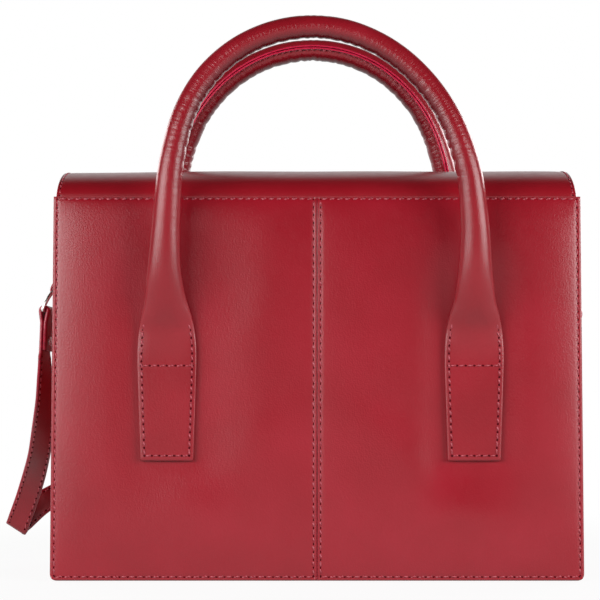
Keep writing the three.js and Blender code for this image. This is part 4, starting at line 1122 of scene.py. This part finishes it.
def studio_floor():
    """White studio paper: seen by the camera and in reflections as white, close to the bag as lit paper."""
    material, tree, place = blank("white_paper_floor")
    fibre = add_node(tree, "TexNoise", {"Vector": place["Object"], "Scale": 1 / 0.02})
    colour = add_node(tree, "ValToRGB", {"Fac": fibre.outputs["Fac"]}, [(0.0, "#f2f2f2"), (1.0, "#f6f6f6")])
    lit = add_node(tree, "BsdfPrincipled", {"Base Color": colour.outputs["Color"], "Roughness": 0.8})
    rays = add_node(tree, "LightPath")
    seen = add_node(tree, "Math", {0: rays.outputs["Is Camera Ray"], 1: rays.outputs["Is Glossy Ray"]})
    seen = add_node(tree, "Math", {0: seen.outputs[0], 1: rays.outputs["Is Transmission Ray"]},
                    use_clamp=True)
    white = add_node(tree, "Emission", {"Color": (1, 1, 1, 1), "Strength": seen.outputs[0]})
    away = add_node(tree, "VectorMath", {0: place["Object"]}, operation="LENGTH")
    far = add_node(tree, "MapRange", {"Value": away.outputs["Value"], "From Min": 0.24, "From Max": 0.5,
                                      "To Min": 0.92, "To Max": 1.0}, interpolation_type="SMOOTHSTEP")
    paper = add_node(tree, "MixShader", {0: far.outputs["Result"], 1: lit.outputs["BSDF"],
                                         2: white.outputs[0]})
    add_node(tree, "OutputMaterial", {"Surface": paper.outputs[0]})
    mesh = bpy.data.meshes.new("floor")
    corners = [(-4, -3), (4, -3), (4, 5), (-4, 5)]
    mesh.from_pydata([(x, y, -0.0004) for x, y in corners], [], [(0, 1, 2, 3)])
    mesh.materials.append(material)
    floor = bpy.data.objects.new("floor", mesh)
    scene.collection.objects.link(floor)


LAMP_FAN = math.radians(84)


def lamp(name, place, aim, size, power):
    """A softbox with a grid, which keeps its light to a fan."""
    light = bpy.data.lights.new(name, "AREA")
    light.shape, light.size, light.size_y, light.energy = "RECTANGLE", size[0], size[1], power
    light.spread = LAMP_FAN
    made = bpy.data.objects.new(name, light)
    made.location = place
    made.rotation_euler = (Vector(aim) - Vector(place)).to_track_quat("-Z", "Y").to_euler()
    scene.collection.objects.link(made)


studio_floor()
lamp("left_softbox", (-0.98, -0.88, 0.40), (-0.05, 0, 0.04), (1.5, 0.6), 4.9)
lamp("right_softbox", (1.09, -0.71, 0.40), (0.05, 0, 0.04), (1.05, 0.6), 3.8)
lamp("rear_right_softbox", (1.0, 1.0, 0.45), (0, 0, 0.1), (0.9, 0.6), 2.6)
lamp("rear_left_softbox", (-1.05, 0.95, 0.45), (0, 0, 0.1), (0.9, 0.6), 1.8)


def studio_room():
    """A dim room with a white backdrop behind the bag; the camera sees white all round."""
    world = bpy.data.worlds.new("studio")
    world.use_nodes = True
    tree = world.node_tree
    tree.nodes.clear()
    way = add_node(tree, "SeparateXYZ", {"Vector": add_node(tree, "TexCoord").outputs["Generated"]})
    behind = add_node(tree, "MapRange", {"Value": way.outputs["Y"], "From Min": 0.68, "From Max": 0.98})
    rays = add_node(tree, "LightPath")
    shine = add_node(tree, "Math", {0: behind.outputs["Result"], 1: rays.outputs["Is Glossy Ray"]},
                     operation="MULTIPLY")
    seen = add_node(tree, "Math", {0: rays.outputs["Is Camera Ray"], 1: rays.outputs["Is Transmission Ray"]})
    white = add_node(tree, "Math", {0: seen.outputs[0], 1: shine.outputs[0]}, use_clamp=True)
    level = add_node(tree, "MapRange", {"Value": white.outputs[0], "To Min": 0.03, "To Max": 1.0})
    sky = add_node(tree, "Background", {"Color": (1, 1, 1, 1), "Strength": level.outputs["Result"]})
    add_node(tree, "OutputWorld", {"Surface": sky.outputs["Background"]})
    scene.world = world


studio_room()
